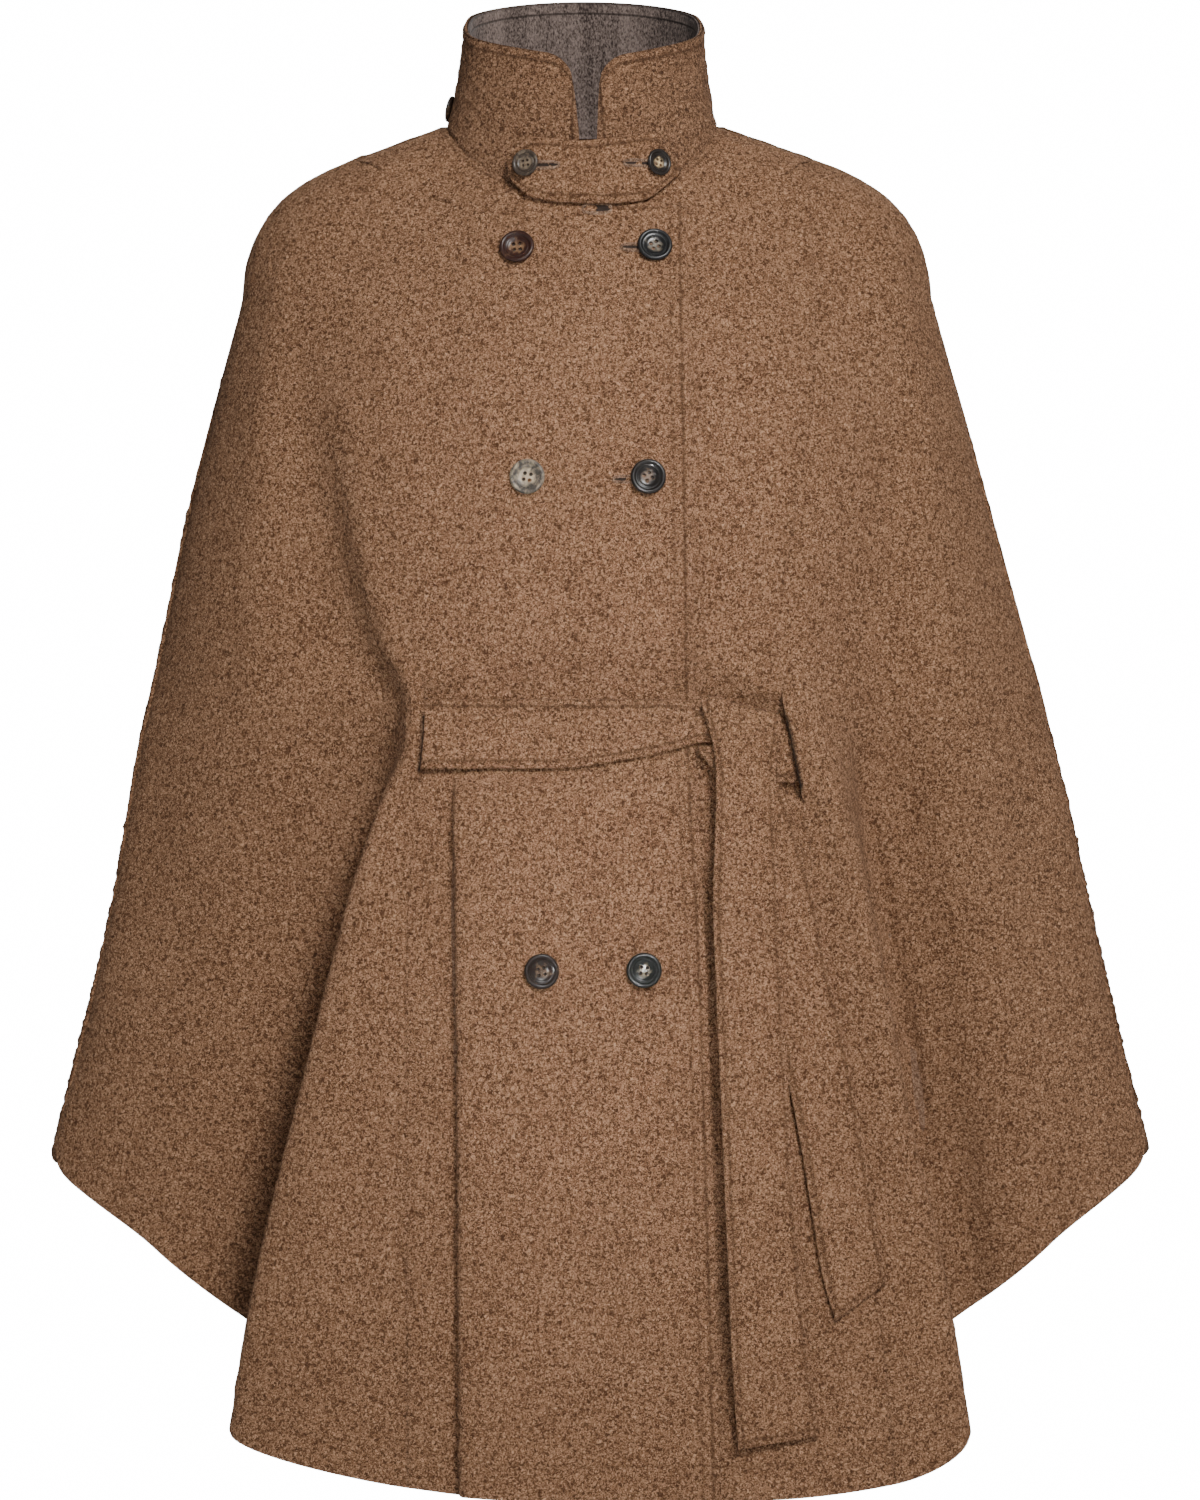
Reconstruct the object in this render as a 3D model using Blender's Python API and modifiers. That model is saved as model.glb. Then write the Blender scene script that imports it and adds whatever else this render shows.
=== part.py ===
"""Belted double-breasted wool cape, filled out as worn, with no wearer.

Metres, +Z up, the front faces -Y and the wearer's right hand is at -X.
The origin is the middle of the neck base, where the cape rests on the shoulders.
The tables below are in millimetres.
"""

import math

import bmesh
import bpy
import numpy as np
from mathutils import Matrix, Vector

MM = 0.001

# Cloth sizes in millimetres.
CLOTH = 3.0
FACING = 1.6
BELT = 4.4
TAB = 4.6
SEAM_GAP = 0.36
SEAT_GAP = 0.4

# Drape outline, one row for each horizontal section: height, how far the front and back
# stand from the body's middle, the reach of the right and left wing tips, and how much
# the front of the wing swells.
OUTLINE_COLUMNS = ("z", "front", "back", "tip_right", "tip_left", "tip_y", "swell")
OUTLINE = (
    (-100, 88, 96, 234, 224, 5, 10),
    (-170, 110, 108, 253, 245, 5, 14),
    (-250, 119, 113, 273, 267, 4, 17),
    (-330, 114, 115, 289, 289, 3, 20),
    (-369, 108, 117, 297, 300, 3, 21),
    (-395, 105, 119, 303, 306, 2, 22),
    (-435, 108, 121, 310, 316, 2, 23),
    (-500, 113, 125, 321, 330, 2, 24),
    (-624, 120, 133, 350, 359, 2, 26),
    (-767, 127, 143, 386, 397, 2, 27),
    (-900, 133, 151, 415, 426, 2, 28),
)

# The front of each half: the princess seam, then the ridge where the skirt turns back
# and the valley behind it, out of which the wing comes.
FOLD_COLUMNS = ("z", "seam", "ridge", "ridge_y", "valley", "valley_y")
FOLD_RIGHT = (
    (-100, 146, 167, -60, 194, -49),
    (-170, 145, 164, -80, 189, -62),
    (-250, 136, 155, -93, 178, -70),
    (-330, 119, 135, -101, 160, -78),
    (-369, 110, 120, -108, 141, -84),
    (-395, 111, 121, -109, 142, -78),
    (-435, 116, 137, -107, 143, -68),
    (-500, 121, 159, -105, 150, -58),
    (-624, 122, 191, -105, 168, -46),
    (-767, 121, 223, -103, 188, -36),
    (-900, 120, 243, -99, 205, -28),
)
FOLD_LEFT = (
    (-100, 146, 167, -60, 196, -49),
    (-170, 143, 163, -82, 194, -63),
    (-250, 131, 153, -95, 192, -68),
    (-330, 120, 142, -103, 188, -72),
    (-369, 123, 138, -108, 186, -74),
    (-395, 128, 146, -109, 185, -70),
    (-435, 136, 159, -107, 183, -63),
    (-500, 145, 177, -105, 181, -55),
    (-624, 165, 206, -105, 186, -46),
    (-767, 186, 233, -103, 201, -36),
    (-900, 198, 253, -99, 214, -28),
)

# Hem height at each station round the half ring, from centre front 0 to centre back 9.
HEM_COLUMNS = ("station", "right", "left")
HEM = (
    (0.0, -889, -889),
    (1.0, -887, -889),
    (2.0, -881, -880),
    (3.0, -851, -849),
    (4.0, -815, -812),
    (4.5, -776, -773),
    (5.0, -733, -730),
    (5.5, -700, -696),
    (5.8, -683, -678),
    (6.0, -670, -664),
    (6.2, -677, -672),
    (6.5, -685, -680),
    (7.0, -710, -705),
    (7.5, -750, -745),
    (8.0, -816, -811),
    (8.4, -870, -868),
    (9.0, -897, -897),
)
STATIONS = 10
SEAM_STATION = 2.0
TIP_STATION = 6.0
BACK_STATION = 9.0

# Neck ring, where the collar is sewn on.
NECK_X = -8
NECK_HALF = 89
NECK_FRONT = 66
NECK_BACK = 62
NECK_SIDE_Z = 15
NECK_FRONT_DROP = 53
NECK_BACK_RISE = 9
NECK_ANGLES = (0, 22, 45, 56, 67, 79, 90, 120, 150, 180)

# Shoulder: the yoke's lower edge, and how far out the princess seams leave it.
YOKE_Z = -100
SHOULDER_SEAM_X = 146
SHOULDER_ROW = 0.288
SHOULDER_TOP_WIDTH = 4

# Back flutes, soft folds that fall from the shoulder blades.
FLUTE_TOP_Z = -230
FLUTE_DEPTH = 9.0
FLUTE_STATIONS = 1.25

# Front closure.
LAP_TOP_Z = -41
LAP_COLUMNS = ("z", "edge")
LAP = ((-41, 61), (-330, 65), (-420, 67), (-540, 73), (-700, 78), (-900, 83))
LAP_STEP = 2.3
UNDERLAP_X = 62
OVER_TRIM = 0.4
UNDER_TRIM = 0.8

# Pleat at the left edge of the middle panel, below the belt.
PLEAT_COLUMNS = ("z", "line")
PLEAT = ((-410, 91), (-600, 88), (-900, 86))
PLEAT_TOP = -418
PLEAT_FULL = -432
PLEAT_STEP = 8.0
PLEAT_SOFT = 4.0

# Belt, drawn in over the fronts, out of one princess seam and into the other.
BELT_TOP = -369
BELT_BOTTOM = -414
BELT_LEFT_DROP = 9
BELT_DRAW = 6.0
SLIT_LIFT = 4.9
SLIT_LIFT_WIDTH = 9.0

# Turn of the belt behind a slit. Columns: step outward from the seam, step backward.
SLIT_TURN = ((-4, 0.3), (2, 2.0), (5, 6.3), (8, 14))

# The belt inside the cape, round the waist. Columns: x, y, drop.
WAIST = (
    (-124, -78, 0),
    (-130, -50, 0),
    (-131, -12, 0),
    (-124, 28, 0),
    (-106, 60, 1),
    (-74, 84, 2),
    (-36, 94, 3),
    (4, 96, 4),
    (44, 93, 5),
    (80, 83, 6),
    (110, 60, 7),
    (128, 28, 8),
    (137, -12, 9),
    (139, -50, 9),
    (138, -78, 9),
)
LOOP_START = 79
LOOP_END = 119.2
LOOP_SQUEEZE = 6.5
LOOP_RISE = 17

# Knot and tails, one row for each section. Columns: left edge x and z, right edge x and z,
# and how far the middle stands before the front. The knot is the turn under the long tail.
KNOT = (
    (79.9, -374.5, 117.5, -388, 0.4),
    (79.9, -398.2, 117.5, -399, 0.4),
    (67.5, -399.8, 117.5, -402, 0.4),
    (73.0, -409.0, 117.0, -410, 0.4),
    (79.0, -417.0, 116.5, -418, 0.4),
)

# Long tail, from the fold over the knot to its end.
LONG_TAIL = (
    (72, -369.2, 121, -382.4, 0.6),
    (70.5, -367.9, 121.6, -380.9, 2.6),
    (70, -369.0, 122, -382.2, 5.2),
    (70.5, -373.5, 122, -386.5, 6.4),
    (75, -388, 120.5, -397, 6.2),
    (78.5, -404, 119, -409, 6.2),
    (79.5, -418, 118.5, -420, 7.8),
    (79.5, -432, 118.5, -432, 9.2),
    (78.5, -462, 119.5, -460, 9.6),
    (77.5, -500, 121, -496, 9.6),
    (79.5, -560, 123.5, -556, 9.5),
    (82, -620, 126.5, -616, 9.5),
    (84.5, -680, 130, -676, 9.4),
    (87, -740, 134.5, -736, 9.3),
    (89, -790, 139, -786, 8.8),
    (93.5, -855, 147, -846.5, 6.6),
)

# Short tail, which comes out from under the knot and hangs behind the long one.
SHORT_TAIL = (
    (84, -421.5, 121, -423.5, 2.4),
    (88, -445, 129, -443, 4.3),
    (93, -478, 138, -474, 4.4),
    (100, -513, 146, -506, 4.4),
    (111, -555, 154, -548, 4.4),
    (123, -603, 165, -596, 4.4),
    (135, -662, 175, -652, 4.4),
    (142, -706, 182, -694, 4.4),
    (148, -742, 187, -726, 4.4),
    (157, -773, 191, -748, 4.4),
)

# Collar.
COLLAR_X = -7
COLLAR_TOP_HALF = 79.5
COLLAR_TOP_FRONT = 58
COLLAR_TOP_BACK = 56
COLLAR_TOP_Z = 80
COLLAR_TOP_RISE = 20
COLLAR_FRONT_DROOP = 4
COLLAR_BACK_LIFT = 6
COLLAR_CORNER = 18
COLLAR_END_RIGHT = (-6.5, -14)
COLLAR_END_LEFT = (0.8, 3.5)
COLLAR_ROWS = (0.0, 0.22, 0.48, 0.76, 1.0)
COLLAR_ROUND = (0.0, 0.015, 0.035, 0.06, 0.13, 0.24, 0.36, 0.48, 0.61, 0.74, 0.87, 1.0)
FACING_BACK = 0.9
FACING_LOW = 2
FACING_HANG = 11

# Throat tab along the neck, leaning back by TAB_TILT about TAB_MID_Z. Columns: x, top, bottom.
TAB_SHAPE = (
    (-57.0, -14.0, -19.5),
    (-54.5, -8.5, -26.0),
    (-48.5, -3.0, -33.0),
    (-40.0, 2.0, -38.5),
    (-25.0, 1.0, -41.5),
    (-10.0, -0.5, -42.2),
    (8.0, 0.8, -42.6),
    (24.0, 3.2, -41.6),
    (34.0, 5.2, -39.6),
    (41.0, 5.0, -35.0),
    (47.0, -3.2, -30.0),
    (53.5, -13.0, -23.5),
    (57.0, -17.0, -20.5),
)
TAB_TILT = 0.16
TAB_MID_Z = -21.2

# Buttons: outer diameters, and where each one is sewn. Columns: name, x, z, turn in degrees,
# and for the one on the collar's side name, y, z, turn.
BUTTON_LARGE = 23
BUTTON_SMALL = 18
FRONT_BUTTONS = (
    ("button_top_right", -50.2, -73.0, 8),
    ("button_top_left", 39.7, -71.8, 24),
    ("button_chest_right", -43.0, -224.8, -12),
    ("button_chest_left", 35.2, -224.8, 30),
    ("button_skirt_right", -34.5, -546.0, 11),
    ("button_skirt_left", 32.6, -545.4, -6),
)
TAB_BUTTONS = (
    ("button_tab_right", -43.8, -16.0, 10),
    ("button_tab_left", 40.0, -15.4, -15),
)
COLLAR_BUTTON = ("button_collar", 4, 27, 12)
BUTTON_SEAT = 0.4

# Rows of every panel: fractions down the yoke, heights, and fractions of the skirt.
YOKE_ROWS = (0.0, 0.14, 0.27, 0.288, 0.42, 0.56, 0.7, 0.85)
DRAPE_ROWS = (-100, -140, -185, -230, -275, -315, -345, -358, -368, -380, -393, -406, -418, -430, -452)
SKIRT_ROWS = (0.13, 0.27, 0.42, 0.56, 0.7, 0.84, 0.94, 1.0)


def column(table, names, name):
    """One named column of a table as an array."""
    return np.array([row[names.index(name)] for row in table], float)


def smooth_table(xs, ys, x):
    """Monotone cubic through (xs, ys), with xs rising, held flat past both ends."""
    xs = np.asarray(xs, float)
    ys = np.asarray(ys, float)
    step = np.diff(xs)
    slope = np.diff(ys) / step
    tangent = np.zeros(len(xs))
    for i in range(1, len(xs) - 1):
        if slope[i - 1] * slope[i] > 0:
            a = 2 * step[i] + step[i - 1]
            b = step[i] + 2 * step[i - 1]
            tangent[i] = (a + b) / (a / slope[i - 1] + b / slope[i])
    tangent[0] = slope[0]
    tangent[-1] = slope[-1]
    x = np.clip(np.asarray(x, float), xs[0], xs[-1])
    k = np.clip(np.searchsorted(xs, x, side="right") - 1, 0, len(xs) - 2)
    t = (x - xs[k]) / step[k]
    keep = (1 + 2 * t) * (1 - t) ** 2
    rise = t * (1 - t) ** 2
    take = t * t * (3 - 2 * t)
    fall = t * t * (t - 1)
    return (
        keep * ys[k]
        + rise * step[k] * tangent[k]
        + take * ys[k + 1]
        + fall * step[k] * tangent[k + 1]
    )


def at_height(table, names, name, z):
    """A table's column at height z; the tables run downwards."""
    return smooth_table(-column(table, names, "z"), column(table, names, name), -np.asarray(z, float))


def ease(x, low, high):
    """0 at low, 1 at high, smooth between; low may be above high."""
    t = np.clip((np.asarray(x, float) - low) / (high - low), 0, 1)
    return t * t * (3 - 2 * t)


def fold_table(side):
    return FOLD_LEFT if side > 0 else FOLD_RIGHT


def ring(side, station, z):
    """The cape's horizontal section: x, y at a station from centre front to centre back."""
    station, z = np.broadcast_arrays(np.asarray(station, float), np.asarray(z, float))
    shape = station.shape
    station, z = station.ravel(), z.ravel()

    def outline(name):
        return at_height(OUTLINE, OUTLINE_COLUMNS, name, z)

    def fold(name):
        return at_height(fold_table(side), FOLD_COLUMNS, name, z)

    front, back, tip_y = outline("front"), outline("back"), outline("tip_y")
    tip = outline("tip_left" if side > 0 else "tip_right")
    seam, ridge, ridge_y = fold("seam"), fold("ridge"), fold("ridge_y")
    valley, valley_y = fold("valley"), fold("valley_y")

    def front_y(x):
        return -front + (front + ridge_y) * (x / ridge) ** 2.4

    inner = 0.52 * seam
    wing = 0.45 * valley + 0.55 * tip
    wing_y = 0.5 * (valley_y + tip_y) - outline("swell")
    back_x = [tip * math.cos(math.radians(a)) ** 0.92 for a in (30, 60)]
    back_y = [tip_y + (back - tip_y) * math.sin(math.radians(a)) for a in (30, 60)]
    zero = np.zeros_like(z)
    xs = [-inner, zero, inner, seam, ridge, valley, wing, tip, back_x[0], back_x[1], zero, -back_x[1]]
    ys = [
        front_y(inner),
        -front,
        front_y(inner),
        front_y(seam),
        ridge_y,
        valley_y,
        wing_y,
        tip_y,
        back_y[0],
        back_y[1],
        back,
        back_y[1],
    ]
    points = np.stack([np.stack(xs, 1), np.stack(ys, 1)], 2)
    k = np.clip(np.floor(station).astype(int), 0, STATIONS - 2)
    t = (station - k)[:, None]
    row = np.arange(len(k))
    p0, p1, p2, p3 = (points[row, k + i] for i in range(4))
    m1, m2 = (p2 - p0) / 2, (p3 - p1) / 2
    xy = (
        (1 + 2 * t) * (1 - t) ** 2 * p1
        + t * (1 - t) ** 2 * m1
        + t * t * (3 - 2 * t) * p2
        + t * t * (t - 1) * m2
    )
    depth = FLUTE_DEPTH * ease(z, FLUTE_TOP_Z, -860) * ease(station, 6.3, 7.3)
    flute = depth * np.cos(2 * math.pi * (BACK_STATION - station) / FLUTE_STATIONS)
    return (side * xy[:, 0]).reshape(shape), (xy[:, 1] + flute).reshape(shape)


def neck_ring(side, angle):
    """A point of the neck seam at an angle from centre front, as x, y, z."""
    s, c = np.sin(angle), np.cos(angle)
    x = NECK_X + side * NECK_HALF * s - NECK_X * (1 - s) * (c > 0)
    y = np.where(c > 0, -NECK_FRONT * c, -NECK_BACK * c)
    drop = NECK_FRONT_DROP * np.maximum(c, 0) ** 1.3
    rise = NECK_BACK_RISE * np.maximum(-c, 0)
    return x, y, NECK_SIDE_Z - drop + rise


def neck(side, station):
    """A point of the neck seam at a station, as x, y, z."""
    return neck_ring(side, np.radians(smooth_table(range(STATIONS), NECK_ANGLES, station)))


def hem(side, station):
    return smooth_table(
        column(HEM, HEM_COLUMNS, "station"),
        column(HEM, HEM_COLUMNS, "left" if side > 0 else "right"),
        station,
    )


def yoke(side, station, f):
    """The shoulder part, from the neck seam at f 0 to the section at YOKE_Z at f 1."""
    nx, ny, nz = neck(side, station)
    rx, ry = ring(side, station, YOKE_Z)
    shoulder = np.exp(-(((np.asarray(station, float) - TIP_STATION) / 2.3) ** 2))
    out = 1 - (1 - f) ** 1.8
    down = 0.42 * out + 0.58 * (1 - np.sqrt(np.clip(1 - out**6, 0, 1)))
    across = f + (out - f) * shoulder
    fall = f + (down - f) * shoulder
    return np.stack([nx + (rx - nx) * across, ny + (ry - ny) * across, nz + (YOKE_Z - nz) * fall], -1)


def drape(side, station, z):
    x, y = ring(side, station, z)
    return np.stack([x, y, np.broadcast_to(z, x.shape)], -1)


def row_values():
    """The cloth's rows from neck to hem, as (part, value)."""
    rows = [("yoke", f) for f in YOKE_ROWS]
    rows += [("drape", z) for z in DRAPE_ROWS]
    rows += [("skirt", t) for t in SKIRT_ROWS]
    return rows


def cloth(side, station, row):
    """Middle of the cloth wall at each station of one row."""
    part, value = row
    station = np.asarray(station, float)
    if part == "yoke":
        return yoke(side, station, value)
    if part == "drape":
        return drape(side, station, np.full(station.shape, float(value)))
    top = DRAPE_ROWS[-1]
    return drape(side, station, top + (hem(side, station) - top) * value)


def station_at(side, x, row, last):
    """The stations of a row where the cloth stands at the given distances |x|."""
    probe = np.linspace(0, last, 241)
    reach = np.maximum.accumulate(side * cloth(side, probe, row)[:, 0])
    return np.interp(np.asarray(x, float), reach, probe)


def seam_station(side, row):
    """Where the princess seam crosses a row; above its top it is the shoulder seam."""
    part, value = row
    if part != "yoke":
        return SEAM_STATION
    if value < SHOULDER_ROW:
        return TIP_STATION
    top = side * cloth(side, np.array([TIP_STATION]), ("yoke", SHOULDER_ROW))[0, 0]
    start = top - SHOULDER_TOP_WIDTH
    reach = start + (SHOULDER_SEAM_X - start) * (value - SHOULDER_ROW) / (1 - SHOULDER_ROW)
    return float(station_at(side, reach, row, TIP_STATION))


def belt_drop(x):
    """How much lower the belt lies than on the right front."""
    return BELT_LEFT_DROP * ease(x, 60, 122)


def belt_zone(x, z, soft):
    """1 where the belt lies, easing to 0 over a soft margin above and below it."""
    level = np.asarray(z, float) + belt_drop(x)
    over = ease(level, BELT_TOP + 3 + soft, BELT_TOP + 3)
    under = ease(level, BELT_BOTTOM - 3 - soft, BELT_BOTTOM - 3)
    return over * under


def drawn_in(x, z, seam):
    """How far the belt draws a front in at signed x, given the seam's distance."""
    soft = 12 + 22 * ease(seam - np.abs(x), 6, 60)
    return BELT_DRAW * belt_zone(x, z, soft)


def section_y(x, z):
    """The cape's own front surface below the yoke: y at signed x and height z."""
    x, z = np.broadcast_arrays(np.asarray(x, float), np.asarray(z, float))
    probe = np.linspace(0, 3.0, 61)
    found = np.zeros(x.size)
    for i, (px, pz) in enumerate(zip(x.ravel(), z.ravel())):
        side = 1 if px >= 0 else -1
        rx, ry = ring(side, probe, pz)
        found[i] = np.interp(abs(px), np.maximum.accumulate(side * rx), ry)
    return found.reshape(x.shape)


def lap_edge(z):
    return at_height(LAP, LAP_COLUMNS, "edge", z)


def pleat_x(z):
    return at_height(PLEAT, PLEAT_COLUMNS, "line", z)


def add_pleat(points):
    """Steps the middle panel forward of the side, with its fold edge a little undercut."""
    x, z = points[..., 0], points[..., 2]
    from_line = x + pleat_x(z)
    depth = PLEAT_STEP * ease(z, PLEAT_TOP, PLEAT_FULL)
    step = ease(from_line, -PLEAT_SOFT, PLEAT_SOFT) * (1 - ease(x, -70, -10))
    near = np.exp(-((from_line / 7.0) ** 2))
    undercut = 0.35 * depth * near * np.sin(np.clip(from_line / PLEAT_SOFT, -1, 1) * math.pi / 2)
    points[..., 1] -= depth * step
    points[..., 0] -= undercut
    return points


def top_of_lap(side, station):
    """The yoke fraction at which a line past centre front starts, at LAP_TOP_Z."""
    nz = neck(side, station)[2]
    return np.clip((nz - LAP_TOP_Z) / (nz - YOKE_Z), 0, 1)


def lap_row(side, row, edge, fractions):
    """Points past centre front, from the free edge in to the middle, on the other half."""
    part, value = row
    if part != "yoke":
        z = float(value) if part == "drape" else None
        probe = np.linspace(0, SEAM_STATION, 81)
        line = cloth(side, probe, row)
    else:
        z = LAP_TOP_Z
        probe = np.linspace(0, 3.0, 81)
        line = yoke(side, probe, top_of_lap(side, probe) + (1 - top_of_lap(side, probe)) * value)
    reach = np.maximum.accumulate(side * line[:, 0])
    height = line[:, 2].mean() if z is None else z
    target = edge(height) * np.asarray(fractions)
    return np.stack([np.interp(target, reach, line[:, i]) for i in range(3)], -1)


def cloth_normal(side, station, row):
    """Outward unit normals of the cloth at each station of one row."""
    part, value = row
    station = np.asarray(station, float)
    step = -4.0 if part == "drape" else 0.02
    start = value - step if part != "drape" and value + step > 1 else value
    down = cloth(side, station, (part, start + step)) - cloth(side, station, (part, start))
    ahead = cloth(side, np.minimum(station + 0.04, BACK_STATION), row)
    behind = cloth(side, np.maximum(station - 0.04, 0), row)
    normal = -side * np.cross(ahead - behind, down)
    return normal / np.linalg.norm(normal, axis=-1, keepdims=True)


def grid_normals(points, sign):
    """Unit normals of a grid of points, rows running down."""
    down = np.gradient(points, axis=0)
    along = np.gradient(points, axis=1)
    normal = sign * np.cross(along, down)
    return normal / np.linalg.norm(normal, axis=-1, keepdims=True)


def collar_out(angle, side):
    """The collar's outward direction at its foot."""
    out = np.stack([side * np.sin(angle), -np.cos(angle), np.full_like(angle, 0.12)], -1)
    return out / np.linalg.norm(out, axis=-1, keepdims=True)


def mitre(normals, stations, side):
    """Turns a neck edge's normals half way to the collar's, lengthened as a mitre is."""
    angle = np.radians(smooth_table(range(STATIONS), NECK_ANGLES, stations))
    half = normals + collar_out(angle, side)
    half /= np.linalg.norm(half, axis=-1, keepdims=True)
    return half / np.sum(half * normals, -1, keepdims=True)


def front_panel(side, lap_fractions, inner_fractions, edge, lift):
    """A front's middle surface and normals, from its free edge to the princess seam."""
    rows, seam_normals, neck_stations = [], [], None
    for row in row_values():
        past = lap_row(-side, row, edge, lap_fractions)
        end = seam_station(side, row)
        far = side * cloth(side, np.array([end]), row)[0, 0]
        stations = station_at(side, far * np.asarray(inner_fractions(row)), row, end)
        stations[-1] = end
        if neck_stations is None:
            neck_stations = stations
        rows.append(np.concatenate([past, cloth(side, stations, row)]))
        seam_normals.append(cloth_normal(side, stations[-1:], row)[0])
    points = np.array(rows)
    x, z = points[..., 0], points[..., 2]
    seam = np.where(
        x < 0,
        at_height(FOLD_RIGHT, FOLD_COLUMNS, "seam", z),
        at_height(FOLD_LEFT, FOLD_COLUMNS, "seam", z),
    )
    points[..., 1] += drawn_in(x, z, seam) + lift(x, z)
    normals = grid_normals(points, -side)
    normals[:, -1] = seam_normals
    count = len(neck_stations)
    normals[0, -count:] = mitre(cloth_normal(side, neck_stations, row_values()[0]), neck_stations, side)
    return points, normals


def side_panel(side, columns):
    """A side front from the princess seam to the wing's side seam."""
    rows, normals = [], []
    for row in row_values():
        start = seam_station(side, row)
        if start >= TIP_STATION:
            continue
        stations = start + (TIP_STATION - start) * np.asarray(columns)
        rows.append(cloth(side, stations, row))
        normals.append(cloth_normal(side, stations, row))
    points = np.array(rows)
    across = np.hypot(points[..., 0] - points[:, :1, 0], points[..., 1] - points[:, :1, 1])
    near = np.exp(-((across / SLIT_LIFT_WIDTH) ** 2))
    points[..., 1] -= SLIT_LIFT * belt_zone(points[..., 0], points[..., 2], 12) * near
    return points, np.array(normals)


def back_panel(columns):
    """The back from one side seam round to the other."""
    rows, normals = [], []
    right = TIP_STATION + (BACK_STATION - TIP_STATION) * np.asarray(columns)
    left = right[::-1][1:]
    for number, row in enumerate(row_values()):
        right_normals = cloth_normal(-1, right, row)
        left_normals = cloth_normal(1, left, row)
        if number == 0:
            right_normals = mitre(right_normals, right, -1)
            left_normals = mitre(left_normals, left, 1)
        rows.append(np.concatenate([cloth(-1, right, row), cloth(1, left, row)]))
        normals.append(np.concatenate([right_normals, left_normals]))
    return np.array(rows), np.array(normals)


def trim(points, first=0.0, last=0.0, top=0.0, bottom=0.0):
    """Draws a grid's edges in along the cloth, so that seams keep their gap."""

    def pull(edge, inside, much):
        way = inside - edge
        length = np.linalg.norm(way, axis=-1, keepdims=True)
        return edge + way / np.maximum(length, 1e-6) * much

    points = points.copy()
    points[:, 0] = pull(points[:, 0], points[:, 1], first)
    points[:, -1] = pull(points[:, -1], points[:, -2], last)
    points[0] = pull(points[0], points[1], top)
    points[-1] = pull(points[-1], points[-2], bottom)
    return points


def surface_at(points, x, z):
    """Where a grid's facets stand at (x, z): y and the facet's normal, or None."""
    rows, columns = points.shape[:2]
    for r in range(rows - 1):
        for c in range(columns - 1):
            quad = (points[r, c], points[r + 1, c], points[r + 1, c + 1], points[r, c + 1])
            for tri in ((quad[0], quad[1], quad[2]), (quad[0], quad[2], quad[3])):
                side_a, side_b = tri[1] - tri[0], tri[2] - tri[0]
                area = side_a[0] * side_b[2] - side_a[2] * side_b[0]
                if abs(area) < 1e-6:
                    continue
                px, pz = x - tri[0][0], z - tri[0][2]
                u = (px * side_b[2] - pz * side_b[0]) / area
                v = (side_a[0] * pz - side_a[2] * px) / area
                if u >= -1e-6 and v >= -1e-6 and u + v <= 1 + 1e-6:
                    normal = np.cross(side_a, side_b)
                    normal /= np.linalg.norm(normal)
                    if normal[1] > 0:
                        normal = -normal
                    return tri[0][1] + u * side_a[1] + v * side_b[1], normal
    return None


def colour_material(name, colour, roughness, metallic=0.0):
    material = bpy.data.materials.new(name)
    material.use_nodes = True
    shader = material.node_tree.nodes["Principled BSDF"]
    shader.inputs["Base Color"].default_value = (*colour, 1)
    shader.inputs["Roughness"].default_value = roughness
    shader.inputs["Metallic"].default_value = metallic
    return material


def clear_scene():
    for thing in list(bpy.data.objects):
        bpy.data.objects.remove(thing)


def new_collection(name):
    made = bpy.data.collections.new(name)
    bpy.context.scene.collection.children.link(made)
    return made


def place(name, mesh, material, home):
    made = bpy.data.objects.new(name, mesh)
    mesh.materials.append(material)
    home.objects.link(made)
    return made


def wall_object(name, points, normals, thickness, material, home):
    """A cloth wall: a grid of points given its thickness half to each side."""
    half = thickness / 2
    faces = [points + normals * half, points - normals * half]
    rows, columns = points.shape[:2]
    bm = bmesh.new()
    skin = [[[bm.verts.new(Vector(p) * MM) for p in row] for row in face] for face in faces]
    outer, inner = skin
    for r in range(rows - 1):
        for c in range(columns - 1):
            bm.faces.new((outer[r][c], outer[r + 1][c], outer[r + 1][c + 1], outer[r][c + 1]))
            bm.faces.new((inner[r][c], inner[r][c + 1], inner[r + 1][c + 1], inner[r + 1][c]))
    rim = [(0, c) for c in range(columns)]
    rim += [(r, columns - 1) for r in range(1, rows)]
    rim += [(rows - 1, c) for c in range(columns - 2, -1, -1)]
    rim += [(r, 0) for r in range(rows - 2, 0, -1)]
    for (r, c), (next_r, next_c) in zip(rim, rim[1:] + rim[:1]):
        bm.faces.new((outer[r][c], outer[next_r][next_c], inner[next_r][next_c], inner[r][c]))
    bmesh.ops.recalc_face_normals(bm, faces=bm.faces)
    mesh = bpy.data.meshes.new(name)
    bm.to_mesh(mesh)
    bm.free()
    return place(name, mesh, material, home)


def round_the_neck(fractions, row):
    """Column positions that run evenly round the neck and reach their own place below it."""
    part, value = row
    if part != "yoke":
        return fractions
    even = np.sin(np.linspace(0, math.pi / 2, len(fractions)))
    return even + (fractions - even) * value


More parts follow.
